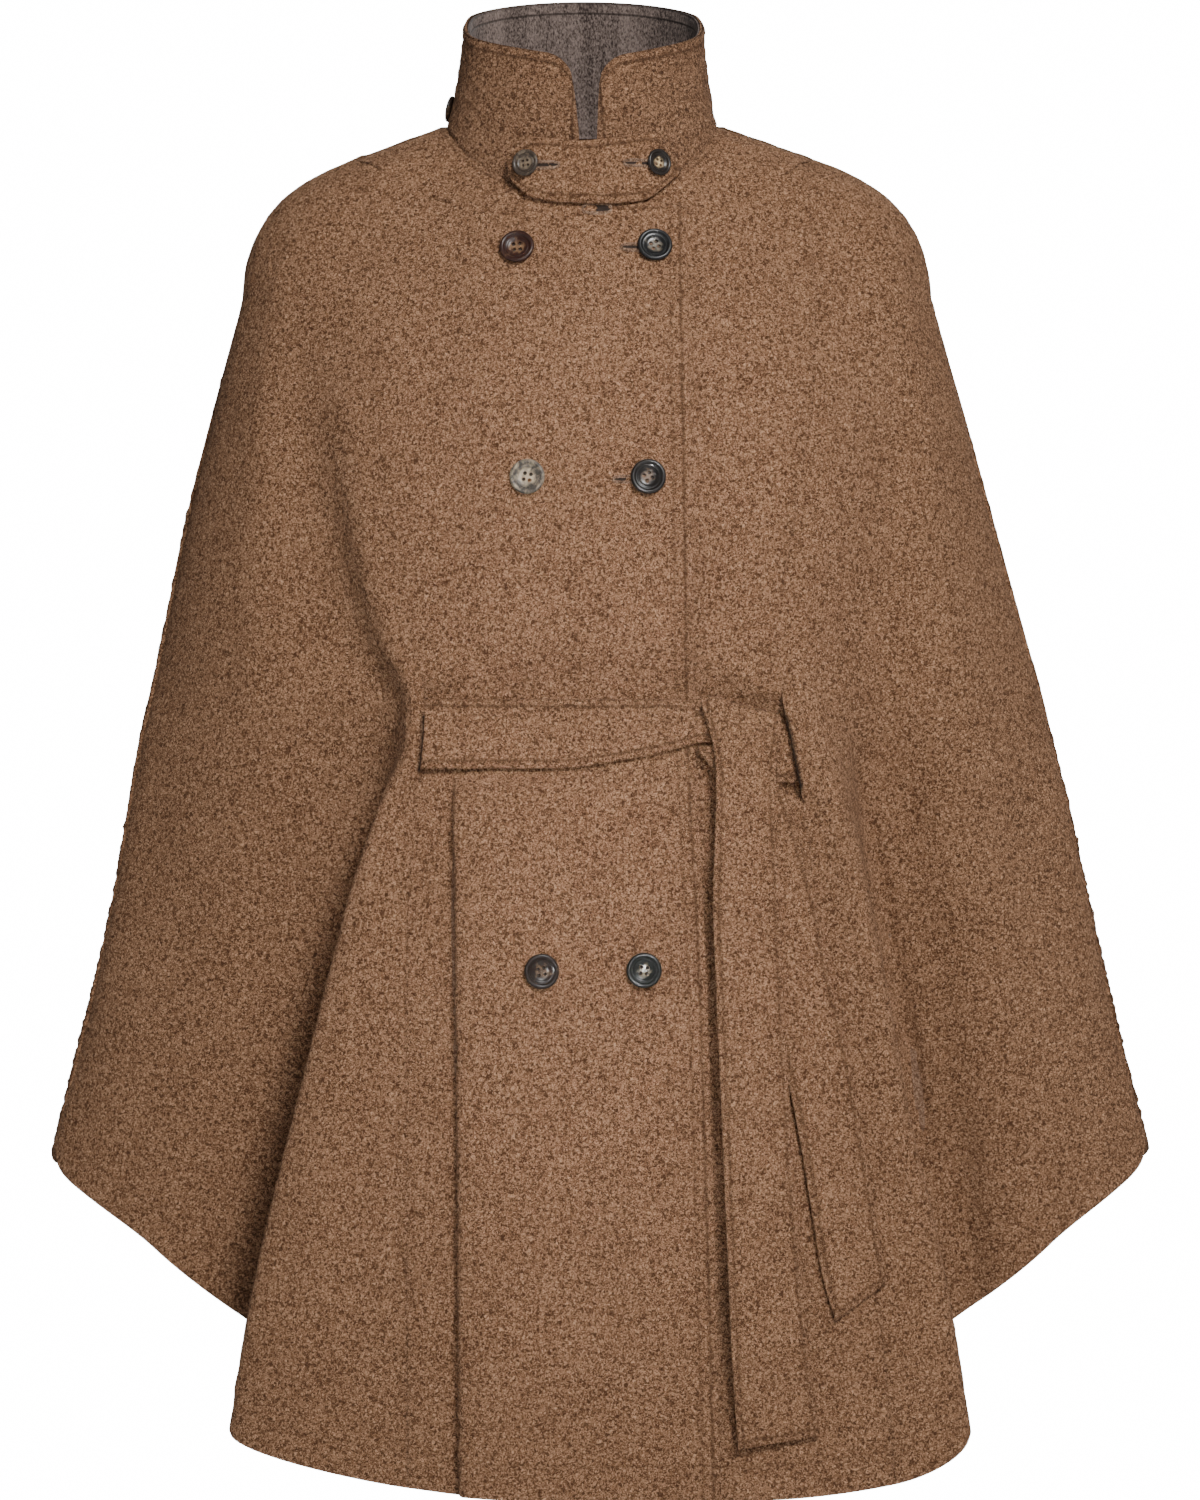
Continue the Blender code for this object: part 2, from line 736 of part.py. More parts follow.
def make_body(home, wool):
    """The five cape panels; returns the two fronts' middle surfaces."""
    lap_columns = np.linspace(1, 0, 6)[:-1]

    def right_columns(row):
        part, value = row
        z = {"yoke": -420, "drape": value, "skirt": -455 - 430 * value}[part]
        z = min(z, -420)
        line = float(pleat_x(z)) / float(at_height(FOLD_RIGHT, FOLD_COLUMNS, "seam", z))
        near = np.array([-0.085, -0.036, -0.012, 0.012, 0.036, 0.085]) + line
        return round_the_neck(np.concatenate([[0, 0.22, 0.44], near, [1.0]]), row)

    def left_columns(row):
        return round_the_neck(np.linspace(0, 1, 8), row)

    def left_edge(z):
        return UNDERLAP_X

    def over(x, z):
        return -LAP_STEP * ease(x, -105, -70) * ease(z, -18, LAP_TOP_Z)

    def under(x, z):
        return LAP_STEP * ease(x, 108, 84) * ease(z, -18, LAP_TOP_Z)

    right, right_normals = front_panel(-1, lap_columns, right_columns, lap_edge, over)
    right = add_pleat(right)
    seam_normals = right_normals[:, -1].copy()
    neck_normals = right_normals[0].copy()
    right_normals = grid_normals(right, 1)
    right_normals[:, -1] = seam_normals
    right_normals[0] = neck_normals
    left, left_normals = front_panel(1, lap_columns, left_columns, left_edge, under)
    gap = SEAM_GAP / 2
    right = trim(right, last=gap, top=gap + OVER_TRIM)
    left = trim(left, last=gap, top=gap + UNDER_TRIM)
    wall_object("front_right", right, right_normals, CLOTH, wool, home)
    wall_object("front_left", left, left_normals, CLOTH, wool, home)
    side_columns = np.concatenate(
        [
            np.linspace(0, 0.25, 3)[:-1],
            np.linspace(0.25, 0.5, 5)[:-1],
            np.linspace(0.5, 1.0, 7),
        ]
    )
    for side, name in ((-1, "side_front_right"), (1, "side_front_left")):
        points, normals = side_panel(side, side_columns)
        points = trim(points, first=gap, last=gap)
        wall_object(name, points, normals, CLOTH, wool, home)
    points, normals = back_panel(np.linspace(0, 1, 12))
    wall_object("back", trim(points, first=gap, last=gap, top=gap), normals, CLOTH, wool, home)
    return right, left


def collar_point(side, angle, v):
    """The collar's middle surface at an angle from centre front, from foot to top."""
    foot_x, foot_y, foot_z = neck_ring(side, angle)
    s, c = np.sin(angle), np.cos(angle)
    top_x = COLLAR_X + side * COLLAR_TOP_HALF * s - COLLAR_X * (1 - s) * (c > 0)
    top_y = np.where(c > 0, -COLLAR_TOP_FRONT * c, -COLLAR_TOP_BACK * c)
    top_z = COLLAR_TOP_Z - COLLAR_TOP_RISE * c - COLLAR_FRONT_DROOP * np.maximum(c, 0) ** 8
    top_z = top_z + COLLAR_BACK_LIFT * ease(c, 0.3, -0.35)
    lean = 1 - (1 - v) ** 1.7
    return np.stack(
        [
            foot_x + (top_x - foot_x) * lean,
            foot_y + (top_y - foot_y) * lean,
            foot_z + (top_z - foot_z) * v,
        ],
        -1,
    )


def collar_grid():
    """The collar from its right front end round the back to its left front end."""
    rows = []
    for v in COLLAR_ROWS[::-1]:
        halves = []
        for side, ends in ((-1, COLLAR_END_RIGHT), (1, COLLAR_END_LEFT)):
            end = abs(ends[0] + (ends[1] - ends[0]) * v)
            reach = NECK_HALF + (COLLAR_TOP_HALF - NECK_HALF) * v + side * NECK_X
            start = math.asin(end / reach)
            points = collar_point(side, start + (math.pi - start) * np.array(COLLAR_ROUND), v)
            from_end = np.hypot(points[:, 0] - points[0, 0], points[:, 1] - points[0, 1])
            near = np.clip(1 - from_end / COLLAR_CORNER, 0, 1)
            points[:, 2] -= COLLAR_CORNER * (1 - np.sqrt(1 - near**2)) * v**2
            halves.append(points)
        rows.append(np.concatenate([halves[0], halves[1][::-1][1:]]))
    return np.array(rows)


def make_collar(home, wool, facing):
    """The collar and the facing inside it; returns the collar's middle surface."""
    points = collar_grid()
    normals = grid_normals(points, 1)
    feet = points[-1]
    cut = grid_normals(points, 1)[-1]
    angle = np.arctan2(np.abs(feet[:, 0]) / NECK_HALF, -feet[:, 1] / NECK_FRONT)
    side = np.where(np.arange(len(feet)) < len(feet) // 2, -1, 1)
    for i in range(len(feet)):
        station = np.interp(math.degrees(angle[i]), NECK_ANGLES, range(STATIONS))
        body = cloth_normal(int(side[i]), np.array([station]), row_values()[0])[0]
        half = body + cut[i]
        half /= np.linalg.norm(half)
        normals[-1, i] = half / np.dot(half, cut[i])
    outer = trim(points, bottom=SEAM_GAP / 2)
    wall_object("collar", outer, normals, CLOTH, wool, home)
    offset = CLOTH / 2 + SEAT_GAP + FACING / 2
    inner = trim(points, first=FACING_BACK, last=FACING_BACK, top=FACING_BACK, bottom=3.0)
    inner_normals = grid_normals(points, 1)
    inner = inner - inner_normals * offset
    low = inner[-1].copy()
    low[:, 2] -= FACING_LOW + FACING_HANG * np.clip(low[:, 1] / NECK_BACK, 0, 1)
    inner = np.concatenate([inner, low[None]])
    inner_normals = np.concatenate([inner_normals, inner_normals[-1:]])
    wall_object("collar_facing", inner, inner_normals, FACING, facing, home)
    return outer


def make_tab(home, wool, surfaces):
    """The throat tab, bent round the front of the neck; returns its middle surface."""
    columns = []
    for x, top, bottom in TAB_SHAPE:
        heights = np.linspace(top, bottom, 5)
        least = 0
        for z in np.linspace(top + 2, bottom - 4, 9):
            for near in (-3, 0, 3):
                for surface in surfaces:
                    hit = surface_at(surface, x + near, z)
                    if hit:
                        lean = -hit[1][1]
                        face = hit[0] - CLOTH / 2 / max(lean, 0.5) - TAB_TILT * (z - TAB_MID_Z)
                        least = min(least, face)
        y = least - TAB / 2 + TAB_TILT * (heights - TAB_MID_Z)
        columns.append(np.stack([np.full(5, x), y, heights], -1))
    points = np.array(columns).transpose(1, 0, 2)
    wall_object("collar_tab", points, grid_normals(points, -1), TAB, wool, home)
    return points


def make_belt(home, wool):
    """The belt's loop through the seams, its half knot and two tails."""
    mid = (BELT_TOP + BELT_BOTTOM) / 2
    half = (BELT_TOP - BELT_BOTTOM) / 2
    levels = np.linspace(BELT_TOP, BELT_BOTTOM, 5) - mid
    rows = []
    for level in levels:
        points = []
        for x in np.concatenate([np.linspace(LOOP_START, 55, 4), np.linspace(40, -98, 9)]):
            if level < 0:
                narrow = LOOP_RISE * min(max((x + 25) / 95, 0), 1) ** 1.5
            else:
                narrow = LOOP_SQUEEZE * float(ease(x, 60, 70))
            z = mid + level * (1 - narrow / half)
            points.append((x, float(section_y(x, z)) - 0.45, z))
        seam = float(at_height(FOLD_RIGHT, FOLD_COLUMNS, "seam", mid + level))
        seam_y = float(section_y(-seam, mid + level))
        for out, back in SLIT_TURN:
            points.append((-seam - out, seam_y + back, mid + level))
        for x, y, drop in WAIST:
            points.append((x, y, mid + level - drop))
        z = mid + level * (1 - (level > 0) * LOOP_SQUEEZE / half) - BELT_LEFT_DROP
        seam = float(at_height(FOLD_LEFT, FOLD_COLUMNS, "seam", z))
        seam_y = float(section_y(seam, z))
        for out, back in SLIT_TURN[::-1]:
            points.append((seam + out, seam_y + back, z))
        points.append((LOOP_END, float(section_y(LOOP_END, z)) + 0.2, z))
        rows.append(points)
    points = np.array(rows)
    wall_object("belt_loop", points, grid_normals(points, 1), BELT, wool, home)
    bands = (("belt_knot", KNOT), ("belt_tail_long", LONG_TAIL), ("belt_tail_short", SHORT_TAIL))
    for name, table in bands:
        tail = []
        for left, left_z, right, right_z, out in table:
            t = np.linspace(0, 1, 5)
            x = left + (right - left) * t
            z = left_z + (right_z - left_z) * t
            tail.append(np.stack([x, section_y(x, z) - out, z], -1))
        tail = np.array(tail)
        wall_object(name, tail, grid_normals(tail, -1), BELT, wool, home)


def seat_on(points, x, z, reach, thickness):
    """Where a flat disc lies on a cloth's outer face at (x, z), and the way it faces."""
    spots = {}
    for dx in (-1, 0, 1):
        for dz in (-1, 0, 1):
            px, pz = x + dx * reach, z + dz * reach
            spots[dx, dz] = np.array([px, surface_at(points, px, pz)[0], pz])
    across = spots[1, 0] - spots[-1, 0]
    upright = spots[0, 1] - spots[0, -1]
    out = np.cross(across, upright)
    out /= np.linalg.norm(out)
    proud = max(np.dot(spot - spots[0, 0], out) for spot in spots.values())
    return spots[0, 0] + out * (proud + thickness / 2 + BUTTON_SEAT), out


def button_profile(diameter):
    """Half section of a dished button, from the middle of its face down the outer side."""
    r = diameter / 2
    thick = 0.17 * diameter
    return (
        (0, 0.62 * thick),
        (0.62 * r, 0.66 * thick),
        (0.8 * r, 1.0 * thick),
        (0.93 * r, 0.96 * thick),
        (r, 0.6 * thick),
        (0.86 * r, 0.08 * thick),
        (0.6 * r, 0),
        (0, 0),
    )


def make_button(name, diameter, seat, out, turn, home, cutters, horn):
    """A four-hole button lying on the cloth at seat, facing along out."""
    out = Vector(out).normalized()
    frame = out.to_track_quat("Z", "Y").to_matrix().to_4x4()
    matrix = Matrix.Translation(Vector(seat) * MM) @ frame @ Matrix.Rotation(math.radians(turn), 4, "Z")
    bm = bmesh.new()
    ring_points = [bm.verts.new((r * MM, 0, z * MM)) for r, z in button_profile(diameter)]
    for a, b in zip(ring_points, ring_points[1:]):
        bm.edges.new((a, b))
    mesh = bpy.data.meshes.new(name)
    bm.to_mesh(mesh)
    bm.free()
    button = place(name, mesh, horn, home)
    screw = button.modifiers.new("Turned", "SCREW")
    screw.steps = 16
    screw.render_steps = 16
    screw.use_merge_vertices = True
    screw.merge_threshold = 0.00001
    button.matrix_world = matrix
    drill = bmesh.new()
    spread = 0.13 * diameter
    for i in range(4):
        angle = math.radians(45 + 90 * i)
        centre = Vector((spread * math.cos(angle), spread * math.sin(angle), 0.06 * diameter)) * MM
        bmesh.ops.create_cone(
            drill,
            cap_ends=True,
            segments=6,
            radius1=0.044 * diameter * MM,
            radius2=0.044 * diameter * MM,
            depth=0.4 * diameter * MM,
            matrix=Matrix.Translation(centre),
        )
    drill_mesh = bpy.data.meshes.new(name + "_holes")
    drill.to_mesh(drill_mesh)
    drill.free()
    cutter = bpy.data.objects.new(name + "_holes", drill_mesh)
    cutters.objects.link(cutter)
    cutter.matrix_world = matrix
    cutter.hide_render = True
    cutter.display_type = "WIRE"
    cut = button.modifiers.new("Holes", "BOOLEAN")
    cut.operation = "DIFFERENCE"
    cut.solver = "EXACT"
    cut.object = cutter


def make_buttons(home, cutters, horn, front, tab, collar):
    """Six front buttons, two on the tab and one on the collar's side."""
    for name, x, z, turn in FRONT_BUTTONS:
        seat, out = seat_on(front, x, z, 0.3 * BUTTON_LARGE, CLOTH)
        make_button(name, BUTTON_LARGE, seat, out, turn, home, cutters, horn)
    for name, x, z, turn in TAB_BUTTONS:
        seat, out = seat_on(tab, x, z, 0.4 * BUTTON_SMALL, TAB)
        make_button(name, BUTTON_SMALL, seat, out, turn, home, cutters, horn)
    name, y, z, turn = COLLAR_BUTTON
    swapped = collar[:, : collar.shape[1] // 2][..., [1, 0, 2]]
    seat, out = seat_on(swapped, y, z, 0.3 * BUTTON_SMALL, CLOTH)
    make_button(name, BUTTON_SMALL, seat[[1, 0, 2]], out[[1, 0, 2]], turn, home, cutters, horn)


clear_scene()
parts = new_collection("wool_cape")
cutters = new_collection("cutters")
wool = colour_material("boucle_wool", (0.27, 0.16, 0.10), 0.95)
facing = colour_material("collar_facing_wool", (0.14, 0.105, 0.08), 0.9)
horn = colour_material("horn_button", (0.035, 0.022, 0.015), 0.25)
front_right, front_left = make_body(parts, wool)
collar = make_collar(parts, wool, facing)
tab = make_tab(parts, wool, (collar, front_right, front_left))
make_belt(parts, wool)
make_buttons(parts, cutters, horn, front_right, tab, collar)
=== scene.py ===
import math

import bmesh
import bpy
import numpy as np
from mathutils import Matrix, Vector


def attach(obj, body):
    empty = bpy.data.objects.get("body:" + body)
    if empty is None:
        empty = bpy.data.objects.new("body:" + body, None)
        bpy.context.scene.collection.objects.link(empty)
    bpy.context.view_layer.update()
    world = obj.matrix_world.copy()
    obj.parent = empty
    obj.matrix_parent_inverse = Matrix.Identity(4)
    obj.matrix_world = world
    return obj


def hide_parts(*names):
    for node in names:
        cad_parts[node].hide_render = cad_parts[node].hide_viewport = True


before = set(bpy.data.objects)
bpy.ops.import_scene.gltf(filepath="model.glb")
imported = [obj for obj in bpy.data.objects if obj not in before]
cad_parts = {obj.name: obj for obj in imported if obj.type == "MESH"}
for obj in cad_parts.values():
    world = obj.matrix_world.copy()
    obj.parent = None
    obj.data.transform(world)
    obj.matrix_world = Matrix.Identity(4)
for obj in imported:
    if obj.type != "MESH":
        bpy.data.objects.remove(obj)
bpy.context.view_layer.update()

# Right front: the outer of the two lapped fronts, cut in curled boucle wool with its edge
# turned in and stitched twice, a pleat beside the middle panel and the belt drawn over it.
# It is sewn to the side front down the princess seam and to the collar round the neck.
MM = 0.001
CLOTH = 3.0
BELT = 4.4
TAB = 4.6
FACING = 1.6
SEAT_GAP = 0.4

OUTLINE_COLUMNS = ("z", "front", "back", "tip_right", "tip_left", "tip_y", "swell")
OUTLINE = (
    (-100, 88, 96, 234, 224, 5, 10),
    (-170, 110, 108, 253, 245, 5, 14),
    (-250, 119, 113, 273, 267, 4, 17),
    (-330, 114, 115, 289, 289, 3, 20),
    (-369, 108, 117, 297, 300, 3, 21),
    (-395, 105, 119, 303, 306, 2, 22),
    (-435, 108, 121, 310, 316, 2, 23),
    (-500, 113, 125, 321, 330, 2, 24),
    (-624, 120, 133, 350, 359, 2, 26),
    (-767, 127, 143, 386, 397, 2, 27),
    (-900, 133, 151, 415, 426, 2, 28),
)
FOLD_COLUMNS = ("z", "seam", "ridge", "ridge_y", "valley", "valley_y")
FOLD_RIGHT = (
    (-100, 146, 167, -60, 194, -49),
    (-170, 145, 164, -80, 189, -62),
    (-250, 136, 155, -93, 178, -70),
    (-330, 119, 135, -101, 160, -78),
    (-369, 110, 120, -108, 141, -84),
    (-395, 111, 121, -109, 142, -78),
    (-435, 116, 137, -107, 143, -68),
    (-500, 121, 159, -105, 150, -58),
    (-624, 122, 191, -105, 168, -46),
    (-767, 121, 223, -103, 188, -36),
    (-900, 120, 243, -99, 205, -28),
)
FOLD_LEFT = (
    (-100, 146, 167, -60, 196, -49),
    (-170, 143, 163, -82, 194, -63),
    (-250, 131, 153, -95, 192, -68),
    (-330, 120, 142, -103, 188, -72),
    (-369, 123, 138, -108, 186, -74),
    (-395, 128, 146, -109, 185, -70),
    (-435, 136, 159, -107, 183, -63),
    (-500, 145, 177, -105, 181, -55),
    (-624, 165, 206, -105, 186, -46),
    (-767, 186, 233, -103, 201, -36),
    (-900, 198, 253, -99, 214, -28),
)
HEM_COLUMNS = ("station", "right", "left")
HEM = (
    (0.0, -889, -889),
    (1.0, -887, -889),
    (2.0, -881, -880),
    (3.0, -851, -849),
    (4.0, -815, -812),
    (4.5, -776, -773),
    (5.0, -733, -730),
    (5.5, -700, -696),
    (5.8, -683, -678),
    (6.0, -670, -664),
    (6.2, -677, -672),
    (6.5, -685, -680),
    (7.0, -710, -705),
    (7.5, -750, -745),
    (8.0, -816, -811),
    (8.4, -870, -868),
    (9.0, -897, -897),
)
STATIONS = 10
SEAM_STATION = 2.0
TIP_STATION = 6.0
BACK_STATION = 9.0
NECK_X = -8
NECK_HALF = 89
NECK_FRONT = 66
NECK_BACK = 62
NECK_SIDE_Z = 15
NECK_FRONT_DROP = 53
NECK_BACK_RISE = 9
NECK_ANGLES = (0, 22, 45, 56, 67, 79, 90, 120, 150, 180)
YOKE_Z = -100
SHOULDER_SEAM_X = 146
SHOULDER_ROW = 0.288
SHOULDER_TOP_WIDTH = 4
FLUTE_TOP_Z = -230
FLUTE_DEPTH = 9.0
FLUTE_STATIONS = 1.25
LAP_TOP_Z = -41
LAP_COLUMNS = ("z", "edge")
LAP = ((-41, 61), (-330, 65), (-420, 67), (-540, 73), (-700, 78), (-900, 83))
LAP_STEP = 2.3
UNDERLAP_X = 62
BELT_TOP = -369
BELT_BOTTOM = -414
BELT_LEFT_DROP = 9
BELT_DRAW = 6.0
SLIT_LIFT = 4.9
SLIT_LIFT_WIDTH = 9.0
PLEAT_COLUMNS = ("z", "line")
PLEAT = ((-410, 91), (-600, 88), (-900, 86))
PLEAT_TOP = -416
PLEAT_FULL = -432
PLEAT_STEP = 8.0
PLEAT_SOFT = 4.0
SKIRT_Z = -452
YOKE_FINE = 46
DRAPE_FINE = 132
SKIRT_FINE = 150
REVERSE_STEP = 4


def column(table, names, name):
    """One named column of a table as an array."""
    return np.array([row[names.index(name)] for row in table], float)


def hermite(t, start, end, leave, arrive):
    curve = (1 + 2 * t) * (1 - t) ** 2 * start + t * (1 - t) ** 2 * leave
    return curve + t * t * (3 - 2 * t) * end + t * t * (t - 1) * arrive


def smooth_table(xs, ys, x):
    """Monotone cubic through (xs, ys), held flat past both ends."""
    xs = np.asarray(xs, float)
    ys = np.asarray(ys, float)
    step = np.diff(xs)
    slope = np.diff(ys) / step
    tangent = np.zeros(len(xs))
    for i in range(1, len(xs) - 1):
        if slope[i - 1] * slope[i] > 0:
            a = 2 * step[i] + step[i - 1]
            b = step[i] + 2 * step[i - 1]
            tangent[i] = (a + b) / (a / slope[i - 1] + b / slope[i])
    tangent[0] = slope[0]
    tangent[-1] = slope[-1]
    x = np.clip(np.asarray(x, float), xs[0], xs[-1])
    k = np.clip(np.searchsorted(xs, x, side="right") - 1, 0, len(xs) - 2)
    t = (x - xs[k]) / step[k]
    return hermite(t, ys[k], ys[k + 1], step[k] * tangent[k], step[k] * tangent[k + 1])


def at_height(table, names, name, z):
    return smooth_table(-column(table, names, "z"), column(table, names, name), -np.asarray(z, float))


def ease(x, low, high):
    t = np.clip((np.asarray(x, float) - low) / (high - low), 0, 1)
    return t * t * (3 - 2 * t)


def ring(side, station, z):
    """The cape's section: x, y at stations from centre front 0 to centre back 9."""
    station, z = np.broadcast_arrays(np.asarray(station, float), np.asarray(z, float))
    shape = station.shape
    station, z = station.ravel(), z.ravel()

    def outline(name):
        return at_height(OUTLINE, OUTLINE_COLUMNS, name, z)

    def fold(name):
        return at_height(FOLD_LEFT if side > 0 else FOLD_RIGHT, FOLD_COLUMNS, name, z)

    front, back, tip_y = outline("front"), outline("back"), outline("tip_y")
    tip = outline("tip_left" if side > 0 else "tip_right")
    seam, ridge, ridge_y = fold("seam"), fold("ridge"), fold("ridge_y")
    valley, valley_y = fold("valley"), fold("valley_y")

    def front_y(x):
        return -front + (front + ridge_y) * (x / ridge) ** 2.4

    inner = 0.52 * seam
    wing = 0.45 * valley + 0.55 * tip
    wing_y = 0.5 * (valley_y + tip_y) - outline("swell")
    back_x = [tip * math.cos(math.radians(a)) ** 0.92 for a in (30, 60)]
    back_y = [tip_y + (back - tip_y) * math.sin(math.radians(a)) for a in (30, 60)]
    zero = np.zeros_like(z)
    xs = [-inner, zero, inner, seam, ridge, valley, wing, tip, back_x[0], back_x[1], zero, -back_x[1]]
    ys = [front_y(inner), -front, front_y(inner), front_y(seam), ridge_y, valley_y, wing_y, tip_y]
    ys += [back_y[0], back_y[1], back, back_y[1]]
    points = np.stack([np.stack(xs, 1), np.stack(ys, 1)], 2)
    k = np.clip(np.floor(station).astype(int), 0, STATIONS - 2)
    t = (station - k)[:, None]
    row = np.arange(len(k))
    p0, p1, p2, p3 = (points[row, k + i] for i in range(4))
    xy = hermite(t, p1, p2, (p2 - p0) / 2, (p3 - p1) / 2)
    depth = FLUTE_DEPTH * ease(z, FLUTE_TOP_Z, -860) * ease(station, 6.3, 7.3)
    flute = depth * np.cos(2 * math.pi * (BACK_STATION - station) / FLUTE_STATIONS)
    return (side * xy[:, 0]).reshape(shape), (xy[:, 1] + flute).reshape(shape)


def neck_at(side, angle):
    """The line where the collar is sewn on, at an angle round from the middle front."""
    s, c = np.sin(angle), np.cos(angle)
    x = NECK_X + side * NECK_HALF * s - NECK_X * (1 - s) * (c > 0)
    y = np.where(c > 0, -NECK_FRONT * c, -NECK_BACK * c)
    z = NECK_SIDE_Z - NECK_FRONT_DROP * np.maximum(c, 0) ** 1.3
    return x, y, z + NECK_BACK_RISE * np.maximum(-c, 0)


def neck(side, station):
    return neck_at(side, np.radians(smooth_table(range(STATIONS), NECK_ANGLES, station)))


def hem(side, station):
    name = "left" if side > 0 else "right"
    return smooth_table(column(HEM, HEM_COLUMNS, "station"), column(HEM, HEM_COLUMNS, name), station)


def cloth(side, station, r):
    """Middle of the wall: r runs 0 to 1 down the yoke, to 2 past the belt, to 3 at the hem."""
    station, r = np.broadcast_arrays(np.asarray(station, float), np.asarray(r, float))
    down = np.where(r < 2, YOKE_Z + (SKIRT_Z - YOKE_Z) * (r - 1), 0)
    down = np.where(r >= 2, SKIRT_Z + (hem(side, station) - SKIRT_Z) * (r - 2), down)
    z = np.where(r < 1, YOKE_Z, down)
    x, y = ring(side, station, z)
    nx, ny, nz = neck(side, station)
    shoulder = np.exp(-(((station - TIP_STATION) / 2.3) ** 2))
    f = np.clip(r, 0, 1)
    out = 1 - (1 - f) ** 1.8
    dip = 0.42 * out + 0.58 * (1 - np.sqrt(np.clip(1 - out**6, 0, 1)))
    across = np.where(r < 1, f + (out - f) * shoulder, 1)
    fall = np.where(r < 1, f + (dip - f) * shoulder, 1)
    return np.stack([nx + (x - nx) * across, ny + (y - ny) * across, nz + (z - nz) * fall], -1)


def rows_down():
    top = np.linspace(0, 1, YOKE_FINE)[:-1]
    middle = 1 + np.linspace(0, 1, DRAPE_FINE)[:-1]
    shoulder = [SHOULDER_ROW - 0.002, SHOULDER_ROW]
    return np.unique(np.concatenate([top, shoulder, middle, 2 + np.linspace(0, 1, SKIRT_FINE)]))


def stations_at(side, x, r, last):
    """Stations of a row where the cloth stands at the distances |x|."""
    probe = np.linspace(0, last, 241)
    reach = np.maximum.accumulate(side * cloth(side, probe, r)[:, 0])
    return np.interp(x, reach, probe)


def seam_station(side, r):
    if r >= 1:
        return SEAM_STATION
    if r < SHOULDER_ROW:
        return TIP_STATION
    start = side * cloth(side, TIP_STATION, SHOULDER_ROW)[0] - SHOULDER_TOP_WIDTH
    reach = start + (SHOULDER_SEAM_X - start) * (r - SHOULDER_ROW) / (1 - SHOULDER_ROW)
    return float(stations_at(side, reach, r, TIP_STATION))


def belt_zone(x, z, soft):
    level = np.asarray(z, float) + BELT_LEFT_DROP * ease(x, 60, 122)
    over = ease(level, BELT_TOP + 3 + soft, BELT_TOP + 3)
    return over * ease(level, BELT_BOTTOM - 3 - soft, BELT_BOTTOM - 3)


def section_y(x, z):
    """The front surface without lap or belt: y at signed x and z."""
    x, z = np.broadcast_arrays(np.asarray(x, float), np.asarray(z, float))
    probe = np.linspace(0, 3.0, 61)
    found = np.zeros(x.size)
    for side in (-1, 1):
        own = np.nonzero(np.where(x.ravel() >= 0, 1, -1) == side)[0]
        rx, ry = ring(side, probe[None, :], z.ravel()[own][:, None])
        reach = np.maximum.accumulate(side * rx, 1)
        for k, i in enumerate(own):
            found[i] = np.interp(abs(x.ravel()[i]), reach[k], ry[k])
    return found.reshape(x.shape)


def front_grid(side, lap_count, own_count, lift):
    """Middle surface of a front, from its free edge past the middle to the princess seam."""
    rows = rows_down()
    grid = []
    for r in rows:
        probe = np.linspace(0, 3.0, 81)
        if r < 1:
            nz = neck(-side, probe)[2]
            start = np.clip((nz - LAP_TOP_Z) / (nz - YOKE_Z), 0, 1)
            other = cloth(-side, probe, np.minimum(start + (1 - start) * r, 0.99999))
        else:
            other = cloth(-side, probe, r)
        height = LAP_TOP_Z + (YOKE_Z - LAP_TOP_Z) * r if r < 1 else other[0, 2]
        edge = float(at_height(LAP, LAP_COLUMNS, "edge", height)) if side < 0 else UNDERLAP_X
        reach = np.maximum.accumulate(-side * other[:, 0])
        want = edge * np.linspace(1, 0, lap_count)[:-1]
        past = np.stack([np.interp(want, reach, other[:, i]) for i in range(3)], -1)
        end = seam_station(side, r)
        far = side * cloth(side, end, r)[0]
        even = np.sin(np.linspace(0, math.pi / 2, own_count))
        share = even + (np.linspace(0, 1, own_count) - even) * min(r, 1)
        stations = stations_at(side, far * share, r, end)
        stations[-1] = end
        grid.append(np.concatenate([past, cloth(side, stations, r)]))
    points = np.array(grid)
    x, z = points[..., 0], points[..., 2]
    right_seam = at_height(FOLD_RIGHT, FOLD_COLUMNS, "seam", z)
    seam = np.where(x < 0, right_seam, at_height(FOLD_LEFT, FOLD_COLUMNS, "seam", z))
    soft = 12 + 22 * ease(seam - np.abs(x), 6, 60)
    points[..., 1] += BELT_DRAW * belt_zone(x, z, soft) + lift(x, z)
    return points


def normals_of(points, sign):
    along = np.gradient(points, axis=1)
    normal = sign * np.cross(along, np.gradient(points, axis=0))
    return normal / np.linalg.norm(normal, axis=-1, keepdims=True)


def creases(points, sign, table):
    """Soft troughs and ridges: each runs from (x0, z0) to (x1, z1) with a sideways bow."""
    x, z = points[..., 0], points[..., 2]
    depth = np.zeros_like(x)
    for x0, z0, x1, z1, bow, width, deep in table:
        dx, dz = x1 - x0, z1 - z0
        length = math.hypot(dx, dz)
        t = ((x - x0) * dx + (z - z0) * dz) / length**2
        off = ((x - x0) * dz - (z - z0) * dx) / length - bow * 4 * t * (1 - t)
        ends = ease(t, -0.08, 0.25) * ease(t, 1.08, 0.75)
        depth += deep * ends * np.exp(-((off / width) ** 2))
    return points + normals_of(points, sign) * depth[..., None]


def curls(shape, seed, size=1.0):
    """The uneven height of curled yarn, as a smooth random field."""
    field = np.random.default_rng(seed).normal(size=shape)
    for axis in (0, 1):
        field = (np.roll(field, 1, axis) + 2 * field + np.roll(field, -1, axis)) / 4
    return size * field / field.std()


